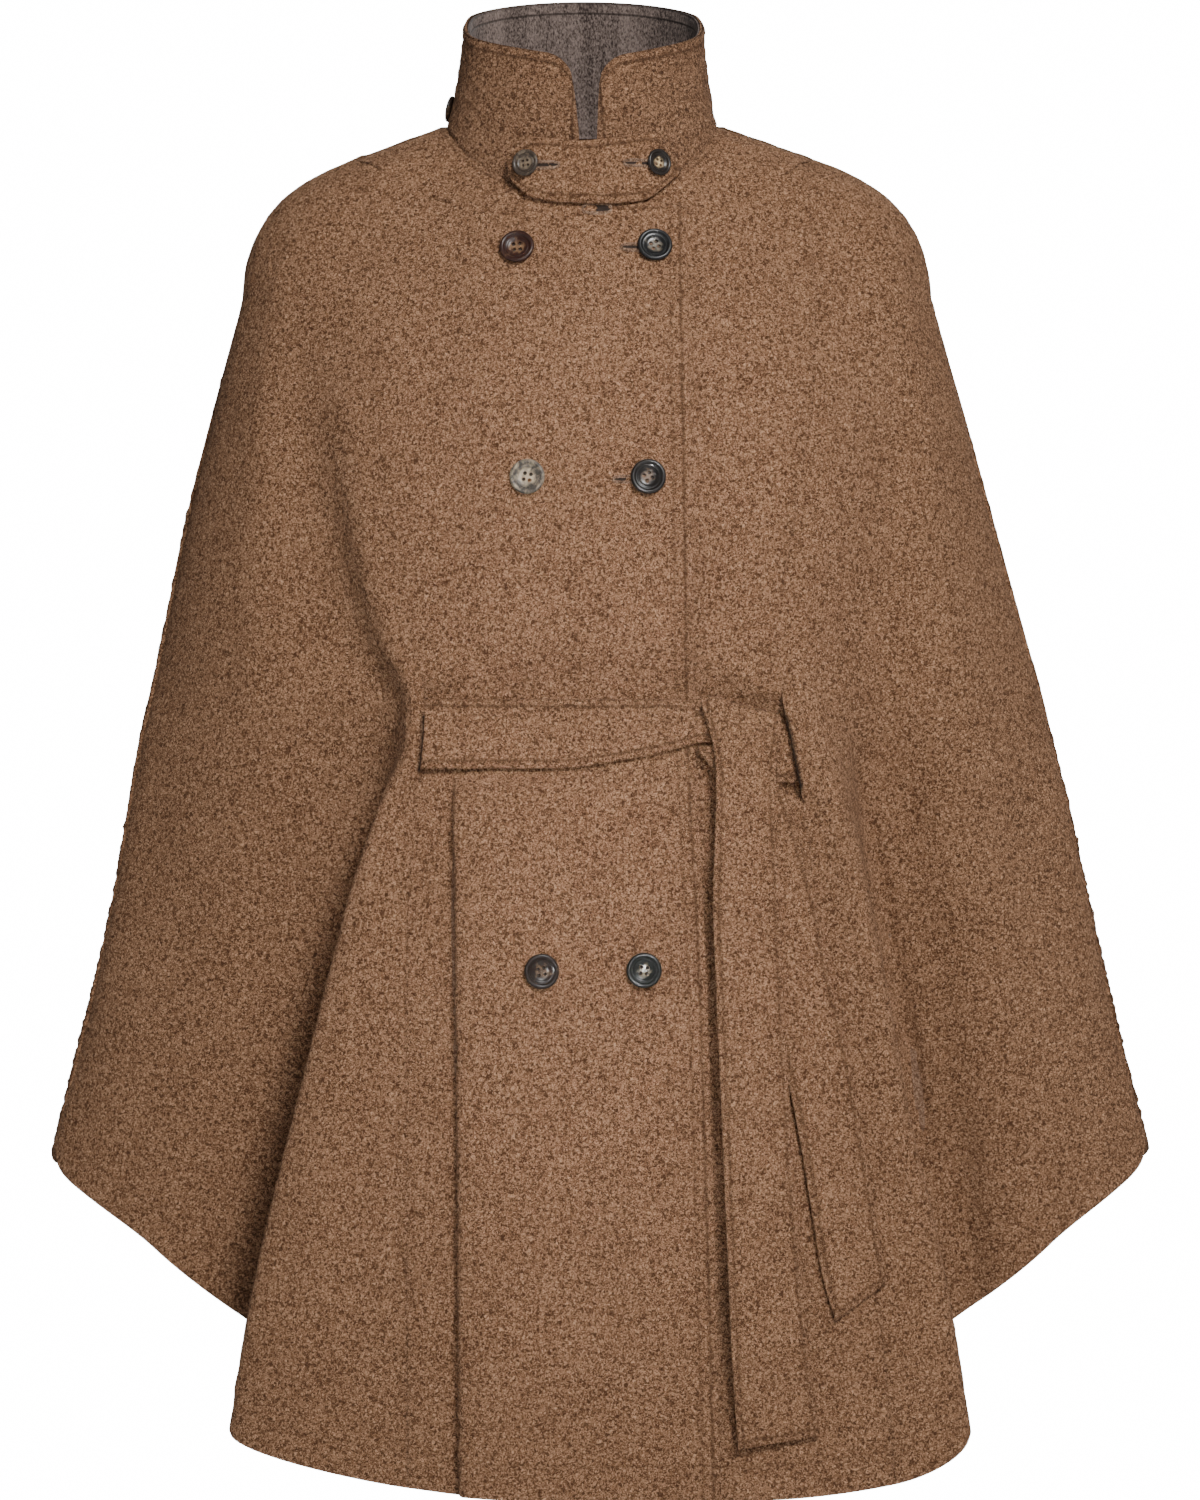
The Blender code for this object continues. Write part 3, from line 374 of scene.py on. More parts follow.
def edge_distances(points):
    """How far each point lies from the first and last column and the top and bottom row."""
    across = np.linalg.norm(np.diff(points, axis=1), axis=-1)
    down = np.linalg.norm(np.diff(points, axis=0), axis=-1)
    first = np.concatenate([np.zeros((len(points), 1)), np.cumsum(across, 1)], 1)
    top = np.concatenate([np.zeros((1, points.shape[1])), np.cumsum(down, 0)], 0)
    return first, first[:, -1:] - first, top, top[-1:] - top


def grid_quads(index):
    a, b, c, d = index[:-1, :-1], index[1:, :-1], index[1:, 1:], index[:-1, 1:]
    return np.stack([a, b, c, d], -1).reshape(-1, 4)


def stand(name, data):
    made = bpy.data.objects.new(name, data)
    bpy.context.scene.collection.objects.link(made)
    return made


def skin(name, points, sign, thickness, seams, curl, materials):
    """A cloth wall: a fine outer face, a plain reverse and a rounded rim between them.

    sign says which way the grid faces, seams for the first, last, top and bottom edge how far
    in the face rolls down, and curl gives the seed and height of the yarn's unevenness.
    """
    normals = normals_of(points, sign)
    relief = curls(points.shape[:2], *curl)
    half = thickness / 2
    ways = edge_distances(points)
    roll = np.zeros(points.shape[:2])
    for distance, reach in zip(ways, seams):
        if reach:
            t = np.clip(1 - distance / reach, 0, 1)
            roll = np.maximum(roll, 1 - np.sqrt(np.clip(1 - t * t, 0, 1)))
    fade = np.clip(np.minimum.reduce(ways) / 2.0, 0, 1)
    face = points + normals * (half * (1 - 0.8 * roll) + relief * fade)[..., None]
    rows, columns = points.shape[:2]
    outer = np.arange(rows * columns).reshape(rows, columns)
    rim = [(0, c) for c in range(columns)] + [(r, columns - 1) for r in range(1, rows)]
    rim += [(rows - 1, c) for c in range(columns - 2, -1, -1)] + [(r, 0) for r in range(rows - 2, 0, -1)]
    rim_r, rim_c = np.array(rim).T
    keep_r = np.unique(np.append(np.arange(0, rows, REVERSE_STEP), rows - 1))
    keep_c = np.unique(np.append(np.arange(0, columns, REVERSE_STEP), columns - 1))
    inside = np.ix_(keep_r[1:-1], keep_c[1:-1])
    reverse = points - normals * half
    under = np.full((rows, columns), -1)
    under[rim_r, rim_c] = outer.size + np.arange(len(rim))
    under[inside] = outer.size + len(rim) + np.arange(under[inside].size).reshape(under[inside].shape)
    places = [face.reshape(-1, 3), reverse[rim_r, rim_c], reverse[inside].reshape(-1, 3)]
    places = np.concatenate(places) * MM
    front_faces = grid_quads(outer)
    edge_out, edge_in = outer[rim_r, rim_c], under[rim_r, rim_c]
    walls = np.stack([edge_out, edge_in, np.roll(edge_in, -1), np.roll(edge_out, -1)], -1)
    faces = front_faces.tolist() + walls.tolist()
    for r0, r1 in zip(keep_r, keep_r[1:]):
        for c0, c1 in zip(keep_c, keep_c[1:]):
            left = range(r0, r1 + 1) if c0 == 0 else (r0, r1)
            right = range(r1, r0 - 1, -1) if c1 == columns - 1 else (r1, r0)
            low = range(c0, c1 + 1) if r1 == rows - 1 else (c0, c1)
            high = range(c1, c0 - 1, -1) if r0 == 0 else (c1, c0)
            loop = [under[r, c0] for r in left] + [under[r1, c] for c in low]
            loop += [under[r, c1] for r in right] + [under[r0, c] for c in high]
            faces.append([int(i) for i in dict.fromkeys(loop)][::-1])
    if sign < 0:
        faces = [loop[::-1] for loop in faces]
    mesh = bpy.data.meshes.new(name)
    mesh.from_pydata(places.tolist(), [], faces)
    slots = np.zeros(len(faces), int)
    slots[len(front_faces) + len(walls) :] = min(1, len(materials) - 1)
    mesh.polygons.foreach_set("material_index", slots)
    corner = np.zeros(len(mesh.loops), int)
    mesh.loops.foreach_get("vertex_index", corner)
    for layer, pair in (("sides", ways[:2]), ("ends", ways[2:])):
        own = np.stack([way.ravel() for way in pair], 1)
        whole = np.full((len(places), 2), 500.0)
        whole[: outer.size] = own
        whole[outer.size : outer.size + len(rim)] = own[edge_out]
        uv = mesh.uv_layers.new(name=layer)
        uv.data.foreach_set("uv", (whole * MM)[corner].astype(np.float32).ravel())
    for material in materials:
        mesh.materials.append(material)
    mesh.shade_smooth()
    return stand(name, mesh)


def dress(piece, node):
    """Sets a piece on the body in place of its CAD node."""
    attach(piece, "root")
    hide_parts(node)


def group_of(name, inputs, outputs):
    """An empty shader group; inputs and outputs are (name, kind, default)."""
    group = bpy.data.node_groups.new(name, "ShaderNodeTree")
    for label, kind, value in inputs:
        made = group.interface.new_socket(label, in_out="INPUT", socket_type=kind)
        made.default_value = value
    for label, kind in outputs:
        group.interface.new_socket(label, in_out="OUTPUT", socket_type=kind)
    entry = group.nodes.new("NodeGroupInput")
    leave = group.nodes.new("NodeGroupOutput")
    return group, entry, leave


def node(tree, kind, *links, **values):
    """A shader node; links are (input, socket or value) and values are its settings."""
    made = tree.nodes.new(kind)
    for name, value in values.items():
        setattr(made, name, value)
    for name, value in links:
        if isinstance(value, bpy.types.NodeSocket):
            tree.links.new(value, made.inputs[name])
        else:
            made.inputs[name].default_value = value
    return made


def math_node(tree, operation, a, b=0.0, clamp=False):
    links = ((0, a), (1, b))
    return node(tree, "ShaderNodeMath", *links, operation=operation, use_clamp=clamp).outputs[0]


def plus(tree, a, b, clamp=False):
    return math_node(tree, "ADD", a, b, clamp)


def minus(tree, a, b, clamp=False):
    return math_node(tree, "SUBTRACT", a, b, clamp)


def times(tree, a, b, clamp=False):
    return math_node(tree, "MULTIPLY", a, b, clamp)


def noise(tree, place, scale, detail=2.0, *links, **values):
    links = (("Vector", place), ("Scale", scale), ("Detail", detail)) + links
    return node(tree, "ShaderNodeTexNoise", *links, **values).outputs["Fac"]


def object_place(tree):
    return tree.nodes.new("ShaderNodeTexCoord").outputs["Object"]


def edge_way(tree, layer, component=0):
    """One of the two distances in metres that a layer of skin holds."""
    uv = node(tree, "ShaderNodeUVMap", uv_map=layer)
    return node(tree, "ShaderNodeSeparateXYZ", ("Vector", uv.outputs["UV"])).outputs[component]


def new_material(name, **values):
    """A material with its tree and its main shader; values are the shader's own constants."""
    material = bpy.data.materials.new(name)
    material.use_nodes = True
    shader = material.node_tree.nodes["Principled BSDF"]
    for label, value in values.items():
        shader.inputs[label.replace("_", " ")].default_value = value
    return material, material.node_tree, shader


def finish_shader(tree, shader, colour, height, strength, distance):
    bump = node(tree, "ShaderNodeBump", ("Height", height), ("Strength", strength), ("Distance", distance))
    tree.links.new(colour, shader.inputs["Base Color"])
    tree.links.new(bump.outputs["Normal"], shader.inputs["Normal"])


def mix_colour(tree, share, a, b, blend="MIX"):
    made = tree.nodes.new("ShaderNodeMix")
    made.data_type = "RGBA"
    made.blend_type = blend
    for name, value in (("Factor_Float", share), ("A_Color", a), ("B_Color", b)):
        socket = next(s for s in made.inputs if s.identifier == name)
        if isinstance(value, bpy.types.NodeSocket):
            tree.links.new(value, socket)
        else:
            socket.default_value = value
    return next(s for s in made.outputs if s.identifier == "Result_Color")


def boucle_group():
    """Curled yarn: the colours and height of small uneven loops, in metres of cloth."""
    group, entry, leave = group_of(
        "boucle_yarn",
        (
            ("Dark", "NodeSocketColor", (0.05, 0.025, 0.014, 1)),
            ("Middle", "NodeSocketColor", (0.24, 0.13, 0.075, 1)),
            ("Light", "NodeSocketColor", (0.5, 0.31, 0.19, 1)),
            ("Loops", "NodeSocketFloat", 520.0),
            ("Contrast", "NodeSocketFloat", 1.0),
        ),
        (("Color", "NodeSocketColor"), ("Height", "NodeSocketFloat")),
    )
    place = object_place(group)
    bend = node(group, "ShaderNodeTexNoise", ("Vector", place), ("Scale", 420.0), ("Detail", 1.0))
    half = (0.5, 0.5, 0.5)
    shift = node(
        group, "ShaderNodeVectorMath", (0, bend.outputs["Color"]), (1, half), operation="SUBTRACT"
    )
    small = node(
        group, "ShaderNodeVectorMath", (0, shift.outputs[0]), ("Scale", 0.0055), operation="SCALE"
    )
    bent = node(group, "ShaderNodeVectorMath", (0, place), (1, small.outputs[0]), operation="ADD")
    bent = bent.outputs[0]
    loops = node(
        group, "ShaderNodeTexVoronoi", ("Vector", bent), ("Scale", entry.outputs["Loops"]), feature="F1"
    ).outputs["Distance"]
    worm = noise(group, bent, 1150.0, 1.5, ("Roughness", 0.55), ("Distortion", 1.1))
    creep = noise(group, bent, 210.0)
    wide = noise(group, place, 26.0, 3.0)
    crack = math_node(group, "ABSOLUTE", minus(group, creep, 0.5))
    crack = minus(group, 1.0, times(group, crack, 30.0), clamp=True)
    dome = minus(group, 0.95, loops, clamp=True)
    height = plus(group, times(group, dome, 0.38), times(group, worm, 1.1))
    height = minus(group, height, times(group, crack, 0.09))
    swing = times(group, minus(group, height, 0.745), 3.2)
    swing = times(group, swing, entry.outputs["Contrast"])
    warm = times(group, minus(group, wide, 0.5), 0.14)
    tone = plus(group, plus(group, swing, 0.5), warm, clamp=True)
    low = times(group, tone, 2.0, clamp=True)
    high = minus(group, times(group, tone, 2.0), 1.0, clamp=True)
    base = mix_colour(group, low, entry.outputs["Dark"], entry.outputs["Middle"])
    group.links.new(mix_colour(group, high, base, entry.outputs["Light"]), leave.inputs["Color"])
    group.links.new(height, leave.inputs["Height"])
    return group


def band(tree, distance, at, width):
    """1 along the line where a distance equals at, falling to 0 across its width."""
    away = math_node(tree, "ABSOLUTE", minus(tree, distance, at * MM))
    return minus(tree, 1.0, times(tree, away, 1 / (width * MM)), clamp=True)


def wool_material(name, lines, tones, strength=0.9, slit=None):
    """Boucle with rows of stitching: lines are (layer, component, distance in mm, depth).

    slit gives the heights between which the first side is painted ragged and near black, a painted shadow
    for the shade inside the belt's slit.
    """
    material, tree, shader = new_material(name, Roughness=0.95, Specular_IOR_Level=0.15)
    shader.inputs["Sheen Weight"].default_value = 0.04
    shader.inputs["Sheen Roughness"].default_value = 0.55
    shader.inputs["Sheen Tint"].default_value = (0.85, 0.6, 0.42, 1)
    yarn = tree.nodes.new("ShaderNodeGroup")
    yarn.node_tree = bpy.data.node_groups["boucle_yarn"]
    for label, colour in zip(("Dark", "Middle", "Light"), tones):
        yarn.inputs[label].default_value = (*colour, 1)
    colour, height = yarn.outputs["Color"], yarn.outputs["Height"]
    furrow = None
    for layer, component, at, deep in lines:
        mark = times(tree, band(tree, edge_way(tree, layer, component), at, STITCH_WIDTH), deep)
        furrow = mark if furrow is None else math_node(tree, "MAXIMUM", furrow, mark)
    if furrow is not None:
        uneven = noise(tree, object_place(tree), 170.0)
        furrow = times(tree, furrow, plus(tree, uneven, 0.3))
        colour = mix_colour(tree, times(tree, furrow, 0.8, clamp=True), colour, (*tones[0], 1))
        height = minus(tree, height, times(tree, furrow, 0.9))
    # Painted shadow: within the slit's heights the first side is mixed to near black for the shade in the
    # opening.
    if slit is not None:
        place = object_place(tree)
        ragged = noise(tree, place, 420.0)
        level = node(tree, "ShaderNodeSeparateXYZ", ("Vector", place)).outputs[2]
        shadow_rows = band(tree, level, (slit[0] + slit[1]) / 2, (slit[1] - slit[0]) / 2)
        shadow_rows = times(tree, shadow_rows, 5.0, clamp=True)
        shadow_edge = band(tree, edge_way(tree, "sides"), 0, SLIT_SHADE)
        shadow_edge = times(tree, shadow_edge, plus(tree, ragged, 0.6), clamp=True)
        shade = times(tree, times(tree, shadow_rows, shadow_edge), 0.95)
        colour = mix_colour(tree, shade, colour, (0.006, 0.003, 0.002, 1))
    finish_shader(tree, shader, colour, height, strength, 0.0016)
    return material


STITCH_WIDTH = 1.9
SLIT_SHADE = 3.4
REVERSE_BROWNS = ((0.08, 0.042, 0.025), (0.18, 0.1, 0.06), (0.3, 0.185, 0.12))
HEM_LINE = ("ends", 1, 23, 0.4)
BROWNS = ((0.07, 0.031, 0.014), (0.278, 0.14, 0.073), (0.53, 0.308, 0.178))
boucle_group()
reverse_wool = wool_material("wool_reverse", (), REVERSE_BROWNS, 0.4)
front_right_wool = wool_material(
    "wool_front_right",
    (("sides", 0, 5, 1.0), ("sides", 0, 12, 0.55), ("sides", 1, 5, 0.2), ("ends", 0, 5, 0.8), HEM_LINE),
    BROWNS,
)


def over_lift(x, z):
    return -LAP_STEP * ease(x, -105, -70) * ease(z, -18, LAP_TOP_Z)


front_points = front_grid(-1, 32, 52, over_lift)
x, z = front_points[..., 0], front_points[..., 2]
from_line = x + at_height(PLEAT, PLEAT_COLUMNS, "line", z)
pleat = PLEAT_STEP * ease(z, PLEAT_TOP, PLEAT_FULL)
undercut = 0.35 * pleat * np.exp(-((from_line / 7.0) ** 2))
undercut = undercut * np.sin(np.clip(from_line / PLEAT_SOFT, -1, 1) * math.pi / 2)
front_points[..., 1] -= pleat * ease(from_line, -PLEAT_SOFT, PLEAT_SOFT) * (1 - ease(x, -70, -10))
front_points[..., 0] -= undercut
FRONT_CREASES = (
    (-96, -318, -60, -352, 3, 6, -1.2),
    (60, -330, 20, -356, -3, 7, -1.0),
    (-30, -322, -12, -360, 2, 5, -0.8),
    (-70, -440, -55, -620, 4, 9, -1.1),
    (20, -440, 34, -640, -4, 10, -1.0),
    (-96, -110, -70, -300, 8, 16, -1.2),
    (60, -66, 61, -360, 0, 2.2, 0.9),
)
front_points = creases(front_points, 1, FRONT_CREASES)
FRONT_ROLL = (1.6, 1.2, 2.0, 1.6)
front_materials = (front_right_wool, reverse_wool)
front_right = skin(
    "front_right_cloth", front_points, 1, CLOTH, FRONT_ROLL, (11, 0.3), front_materials
)
dress(front_right, "front_right")

# Left front: the under front, seen from the lap's edge to its princess seam, cut like the
# right one and hidden past the middle.
front_left_lines = (("sides", 1, 5, 0.2), ("ends", 0, 5, 0.6), HEM_LINE)
front_left_wool = wool_material("wool_front_left", front_left_lines, BROWNS)


def under_lift(x, z):
    return LAP_STEP * ease(x, 108, 84) * ease(z, -18, LAP_TOP_Z)


left_points = front_grid(1, 24, 66, under_lift)
LEFT_CREASES = (
    (64.5, -70, 67.5, -365, 0, 3.2, -2.6),
    (72, -425, 82, -885, 0, 6.5, -4.5),
    (104, -300, 70, -352, 4, 7, -1.6),
    (96, -110, 112, -290, -6, 15, -1.3),
    (112, -452, 150, -700, 4, 12, -1.0),
)
left_points = creases(left_points, -1, LEFT_CREASES)
left_materials = (front_left_wool, reverse_wool)
front_left = skin("front_left_cloth", left_points, -1, CLOTH, FRONT_ROLL, (12, 0.3), left_materials)
dress(front_left, "front_left")

# Side fronts: one piece each from the princess seam round the skirt's fold and the valley
# behind it out to the wing and its side seam, with the belt's slit left open in the seam.
SIDE_CREASES = {
    -1: (
        (-250, -120, -300, -560, 10, 22, -2.6),
        (-214, -150, -236, -520, -8, 18, 2.0),
        (-330, -420, -342, -660, 6, 16, -2.2),
        (-205, -330, -232, -470, 6, 10, -1.6),
        (-170, -460, -215, -800, -6, 14, -1.4),
        (-140, -560, -160, -860, 5, 13, -1.6),
    ),
    1: (
        (246, -130, 300, -580, -10, 22, -2.6),
        (212, -170, 240, -500, 8, 18, 2.0),
        (330, -380, 352, -650, -6, 16, -2.2),
        (214, -300, 240, -430, -6, 10, -1.5),
        (206, -470, 228, -810, 6, 14, -1.4),
        (155, -395, 203, -690, 0, 9, 3.0),
        (172, -380, 224, -690, 0, 8, -8.0),
        (186, -330, 250, -740, -3, 18, -6.0),
        (238, -640, 272, -890, 3, 12, -5.0),
    ),
}
# The last value of each row gives the heights of the painted shadow at the mouth of the belt's slit.
for side, name, flat, area, slit in (
    (-1, "side_front_right", (0.455, 0.905), 0.195, (-419, -376)),
    (1, "side_front_left", (0.395, 0.905), 0.174, (-432, -376)),
):
    side_lines = (("sides", 0, 5, 0.2), ("sides", 1, 0, 0.35), HEM_LINE)
    side_wool = wool_material("wool_" + name, side_lines, BROWNS, slit=slit)
    rows = rows_down()
    rows = rows[rows >= SHOULDER_ROW]
    share = np.linspace(0, 1, 112)
    starts = np.array([seam_station(side, r) for r in rows])
    stations = starts[:, None] + (TIP_STATION - starts[:, None]) * share
    points = cloth(side, stations, rows[:, None])
    across = np.hypot(points[..., 0] - points[:, :1, 0], points[..., 1] - points[:, :1, 1])
    near = np.exp(-((across / SLIT_LIFT_WIDTH) ** 2))
    points[..., 1] -= SLIT_LIFT * belt_zone(points[..., 0], points[..., 2], 12) * near
    points = creases(points, -side, SIDE_CREASES[side])
    roll = (1.2, 0, 0, 1.6)
    materials = (side_wool, reverse_wool)
    piece = skin(name + "_cloth", points, -side, CLOTH, roll, (20 + side, 0.16), materials)
    dress(piece, name)

# Back: one wide piece from side seam to side seam, falling in soft flutes from the
# shoulders to a rounded hem.
back_wool = wool_material("wool_back", (("ends", 0, 5, 0.6), HEM_LINE), BROWNS)
BACK_CREASES = (
    (-60, -40, -90, -330, 8, 20, -4.0),
    (70, -50, 110, -360, -8, 22, -4.4),
    (-150, -120, -220, -600, 10, 24, -5.2),
    (160, -140, 215, -560, -10, 24, -4.8),
    (-20, -430, -34, -860, 6, 20, -4.6),
    (60, -520, 74, -870, -5, 18, 3.4),
)
rows = rows_down()
right_way = np.linspace(TIP_STATION, BACK_STATION, 126)
right_part = cloth(-1, right_way[None, :], rows[:, None])
left_part = cloth(1, right_way[::-1][None, 1:], rows[:, None])
back_points = np.concatenate([right_part, left_part], 1)
back_points = creases(back_points, 1, BACK_CREASES)
back = skin(
    "back_cloth", back_points, 1, CLOTH, (0, 0, 2.0, 1.6), (31, 0.4), (back_wool, reverse_wool)
)
dress(back, "back")

# Collar: a stand band of doubled boucle round the neck, stitched along its top, with a
# facing of smooth grey-brown wool inside it. Its two ends stand open above the throat.
COLLAR_X = -7
COLLAR_TOP_HALF = 79.5
COLLAR_TOP_FRONT = 58
COLLAR_TOP_BACK = 56
COLLAR_TOP_Z = 80
COLLAR_TOP_RISE = 20
COLLAR_FRONT_DROOP = 4
COLLAR_BACK_LIFT = 6
COLLAR_CORNER = 18
COLLAR_END_RIGHT = (-6.5, -14)
COLLAR_END_LEFT = (0.8, 3.5)
FACING_BACK = 0.9
FACING_LOW = 2
FACING_HANG = 11
FACING_LOW_ROWS = 5


def collar_point(side, angle, v):
    s, c = np.sin(angle), np.cos(angle)
    foot_x, foot_y, foot_z = neck_at(side, angle)
    top_x = COLLAR_X + side * COLLAR_TOP_HALF * s - COLLAR_X * (1 - s) * (c > 0)
    top_y = np.where(c > 0, -COLLAR_TOP_FRONT * c, -COLLAR_TOP_BACK * c)
    top_z = COLLAR_TOP_Z - COLLAR_TOP_RISE * c - COLLAR_FRONT_DROOP * np.maximum(c, 0) ** 8
    top_z = top_z + COLLAR_BACK_LIFT * ease(c, 0.3, -0.35)
    lean = 1 - (1 - v) ** 1.7
    x = foot_x + (top_x - foot_x) * lean
    y = foot_y + (top_y - foot_y) * lean
    return np.stack([x, y, foot_z + (top_z - foot_z) * v], -1)


def collar_grid(around, up):
    rows = []
    fan = np.linspace(0, 1, around) ** 1.15
    for v in np.linspace(1, 0, up):
        halves = []
        for side, ends in ((-1, COLLAR_END_RIGHT), (1, COLLAR_END_LEFT)):
            end = abs(ends[0] + (ends[1] - ends[0]) * v)
            reach = NECK_HALF + (COLLAR_TOP_HALF - NECK_HALF) * v + side * NECK_X
            start = math.asin(end / reach)
            points = collar_point(side, start + (math.pi - start) * fan, v)
            from_end = np.hypot(points[:, 0] - points[0, 0], points[:, 1] - points[0, 1])
            near = np.clip(1 - from_end / COLLAR_CORNER, 0, 1)
            points[:, 2] -= COLLAR_CORNER * (1 - np.sqrt(1 - near**2)) * v**2
            halves.append(points)
        rows.append(np.concatenate([halves[0], halves[1][::-1][1:]]))
    return np.array(rows)


# Partly painted shade: the collar's browns are the body's browns made darker, in part for the doubled
# band's bulkier curl and in part for the shade on the upright band.
COLLAR_BULK_AND_SHADE_BROWNS = ((0.055, 0.025, 0.012), (0.24, 0.121, 0.064), (0.465, 0.268, 0.155))
collar_lines = (("ends", 0, 6, 1.0), ("sides", 0, 5.5, 1.0), ("sides", 1, 5.5, 1.0))
collar_wool = wool_material("wool_collar", collar_lines, COLLAR_BULK_AND_SHADE_BROWNS)
collar_points = collar_grid(95, 40)
collar = skin(
    "collar_cloth", collar_points, 1, CLOTH, (1.5, 1.5, 1.5, 2.4), (41, 0.28), (collar_wool, reverse_wool)
)
dress(collar, "collar")


def facing_material():
    """Brushed grey-brown wool: pale and dark fibre, soft upright wear and a stitched edge."""
    material, tree, shader = new_material("collar_facing_wool", Roughness=0.95, Specular_IOR_Level=0.1)
    shader.inputs["Sheen Weight"].default_value = 0.2
    shader.inputs["Sheen Tint"].default_value = (0.8, 0.75, 0.72, 1)
    place = object_place(tree)
    slanted = (("Rotation", (0.0, 0.6, 0.0)), ("Scale", (1.0, 1.0, 0.55)))
    slant = node(tree, "ShaderNodeMapping", ("Vector", place), *slanted)
    fibre = noise(tree, slant.outputs[0], 900.0, 2.0, ("Distortion", 0.6))
    tall = node(tree, "ShaderNodeMapping", ("Vector", place), ("Scale", (60.0, 60.0, 7.0)))
    wear = noise(tree, tall.outputs[0], 1.0)
    tone = plus(tree, times(tree, minus(tree, fibre, 0.5), 2.6), times(tree, minus(tree, wear, 0.5), 1.5))
    tone = plus(tree, tone, 0.42, clamp=True)
    colour = mix_colour(tree, tone, (0.03, 0.021, 0.018, 1), (0.2, 0.152, 0.131, 1))
    furrow = band(tree, edge_way(tree, "ends"), 7.0, 1.2)
    colour = mix_colour(tree, times(tree, furrow, 0.85), colour, (0.022, 0.015, 0.012, 1))
    height = minus(tree, fibre, times(tree, furrow, 1.4))
    finish_shader(tree, shader, colour, height, 0.6, 0.0009)
    return material


facing_felt = facing_material()
outward = normals_of(collar_points, 1)
inner = collar_points - outward * (CLOTH / 2 + SEAT_GAP + FACING / 2)
inner[..., 2] -= FACING_BACK * np.linspace(1, 0, inner.shape[0])[:, None]
inner = inner[:-1, 1:-1]
rng = np.random.default_rng(5)
ripple = np.zeros(inner.shape[1])
for _ in range(26):
    centre, width = rng.uniform(0, inner.shape[1]), rng.uniform(2.5, 6.0)
    ripple += rng.uniform(-0.55, 0.2) * np.exp(-(((np.arange(inner.shape[1]) - centre) / width) ** 2))
ripple = 0.35 * ripple[None, :, None] * np.linspace(0.3, 1, inner.shape[0])[:, None, None]
inner = inner + outward[:-1, 1:-1] * ripple
low = np.repeat(inner[-1:], FACING_LOW_ROWS, 0)
hang = FACING_LOW + FACING_HANG * np.clip(low[..., 1] / NECK_BACK, 0, 1)
low[..., 2] -= hang * np.linspace(1 / FACING_LOW_ROWS, 1, FACING_LOW_ROWS)[:, None]
inner = np.concatenate([inner, low])
facing = skin(
    "collar_facing_cloth", inner, -1, FACING, (0.9, 0.9, 0.9, 0), (42, 0.06), (facing_felt,)
)
dress(facing, "collar_facing")

# Throat tab: a doubled strap of the same boucle with shaped ends, stitched round its edge,
# that buttons across the collar's opening.
TAB_SHAPE = (
    (-57.0, -14.0, -19.5),
    (-54.5, -8.5, -26.0),
    (-48.5, -3.0, -33.0),
    (-40.0, 2.0, -38.5),
    (-25.0, 1.0, -41.5),
    (-10.0, -0.5, -42.2),
    (8.0, 0.8, -42.6),
    (24.0, 3.2, -41.6),
    (34.0, 5.2, -39.6),
    (41.0, 5.0, -35.0),
    (47.0, -3.2, -30.0),
    (53.5, -13.0, -23.5),
    (57.0, -17.0, -20.5),
)
TAB_MID_Z = -21.2
TAB_LEAN = 0.16
tab_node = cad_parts["collar_tab"]


def cast_front(thing, x, z):
    """How far forward a CAD solid's face stands at (x, z), in millimetres."""
    hit, place, _, _ = thing.ray_cast(Vector((x, -400, z)) * MM, Vector((0, 1, 0)))
    return place.y / MM if hit else None


tab_node.data.update()
tab_x = np.array([row[0] for row in TAB_SHAPE])
tab_top = np.array([row[1] for row in TAB_SHAPE])
tab_bottom = np.array([row[2] for row in TAB_SHAPE])
probe_x = np.linspace(-54, 54, 25)
probe_z = (np.interp(probe_x, tab_x, tab_top) + np.interp(probe_x, tab_x, tab_bottom)) / 2
face_y = np.array([cast_front(tab_node, a, b) for a, b in zip(probe_x, probe_z)])
face_y = face_y - TAB_LEAN * (probe_z - TAB_MID_Z)
lean = 1 / np.sqrt(1 + np.gradient(face_y, probe_x) ** 2)
middle_y = np.polyfit(probe_x, face_y + TAB / 2 / lean, 4)
around = np.linspace(-57, 57, 84)
tops = smooth_table(tab_x, tab_top, around)
bottoms = smooth_table(tab_x, tab_bottom, around)
down = np.linspace(0, 1, 34)[:, None]
tab_z = tops + (bottoms - tops) * down
tab_y = np.polyval(middle_y, around) + TAB_LEAN * (tab_z - TAB_MID_Z)
tab_points = np.stack([np.broadcast_to(around, tab_z.shape), tab_y, tab_z], -1)
tab_lines = (("sides", 0, 7, 1.0), ("sides", 1, 7, 1.0), ("ends", 0, 5, 1.0), ("ends", 1, 5, 1.0))
tab_wool = wool_material("wool_tab", tab_lines, BROWNS)
tab = skin(
    "collar_tab_cloth", tab_points, -1, TAB, (2.2, 2.2, 2.2, 2.2), (51, 0.28), (tab_wool, reverse_wool)
)
dress(tab, "collar_tab")

# Belt: a doubled, stitched band of boucle that runs over the fronts, in through the slits
# and round the back inside, and is tied in a half knot over the left front.
SLIT_TURN = ((-4, 0.3), (2, 2.0), (5, 6.3), (8, 14))
WAIST = (
    (-124, -78, 0),
    (-130, -50, 0),
    (-131, -12, 0),
    (-124, 28, 0),
    (-106, 60, 1),
    (-74, 84, 2),
    (-36, 94, 3),
    (4, 96, 4),
    (44, 93, 5),
    (80, 83, 6),
    (110, 60, 7),
    (128, 28, 8),
    (137, -12, 9),
    (139, -50, 9),
    (138, -78, 9),
)
LOOP_START = 79
LOOP_END = 119.2
LOOP_SQUEEZE = 6.5
LOOP_RISE = 17
KNOT = (
    (79.9, -374.5, 117.5, -388, 0.4),
    (79.9, -398.2, 117.5, -399, 0.4),
    (67.5, -399.8, 117.5, -402, 0.4),
    (73.0, -409.0, 117.0, -410, 0.4),
    (79.0, -417.0, 116.5, -418, 0.4),
)
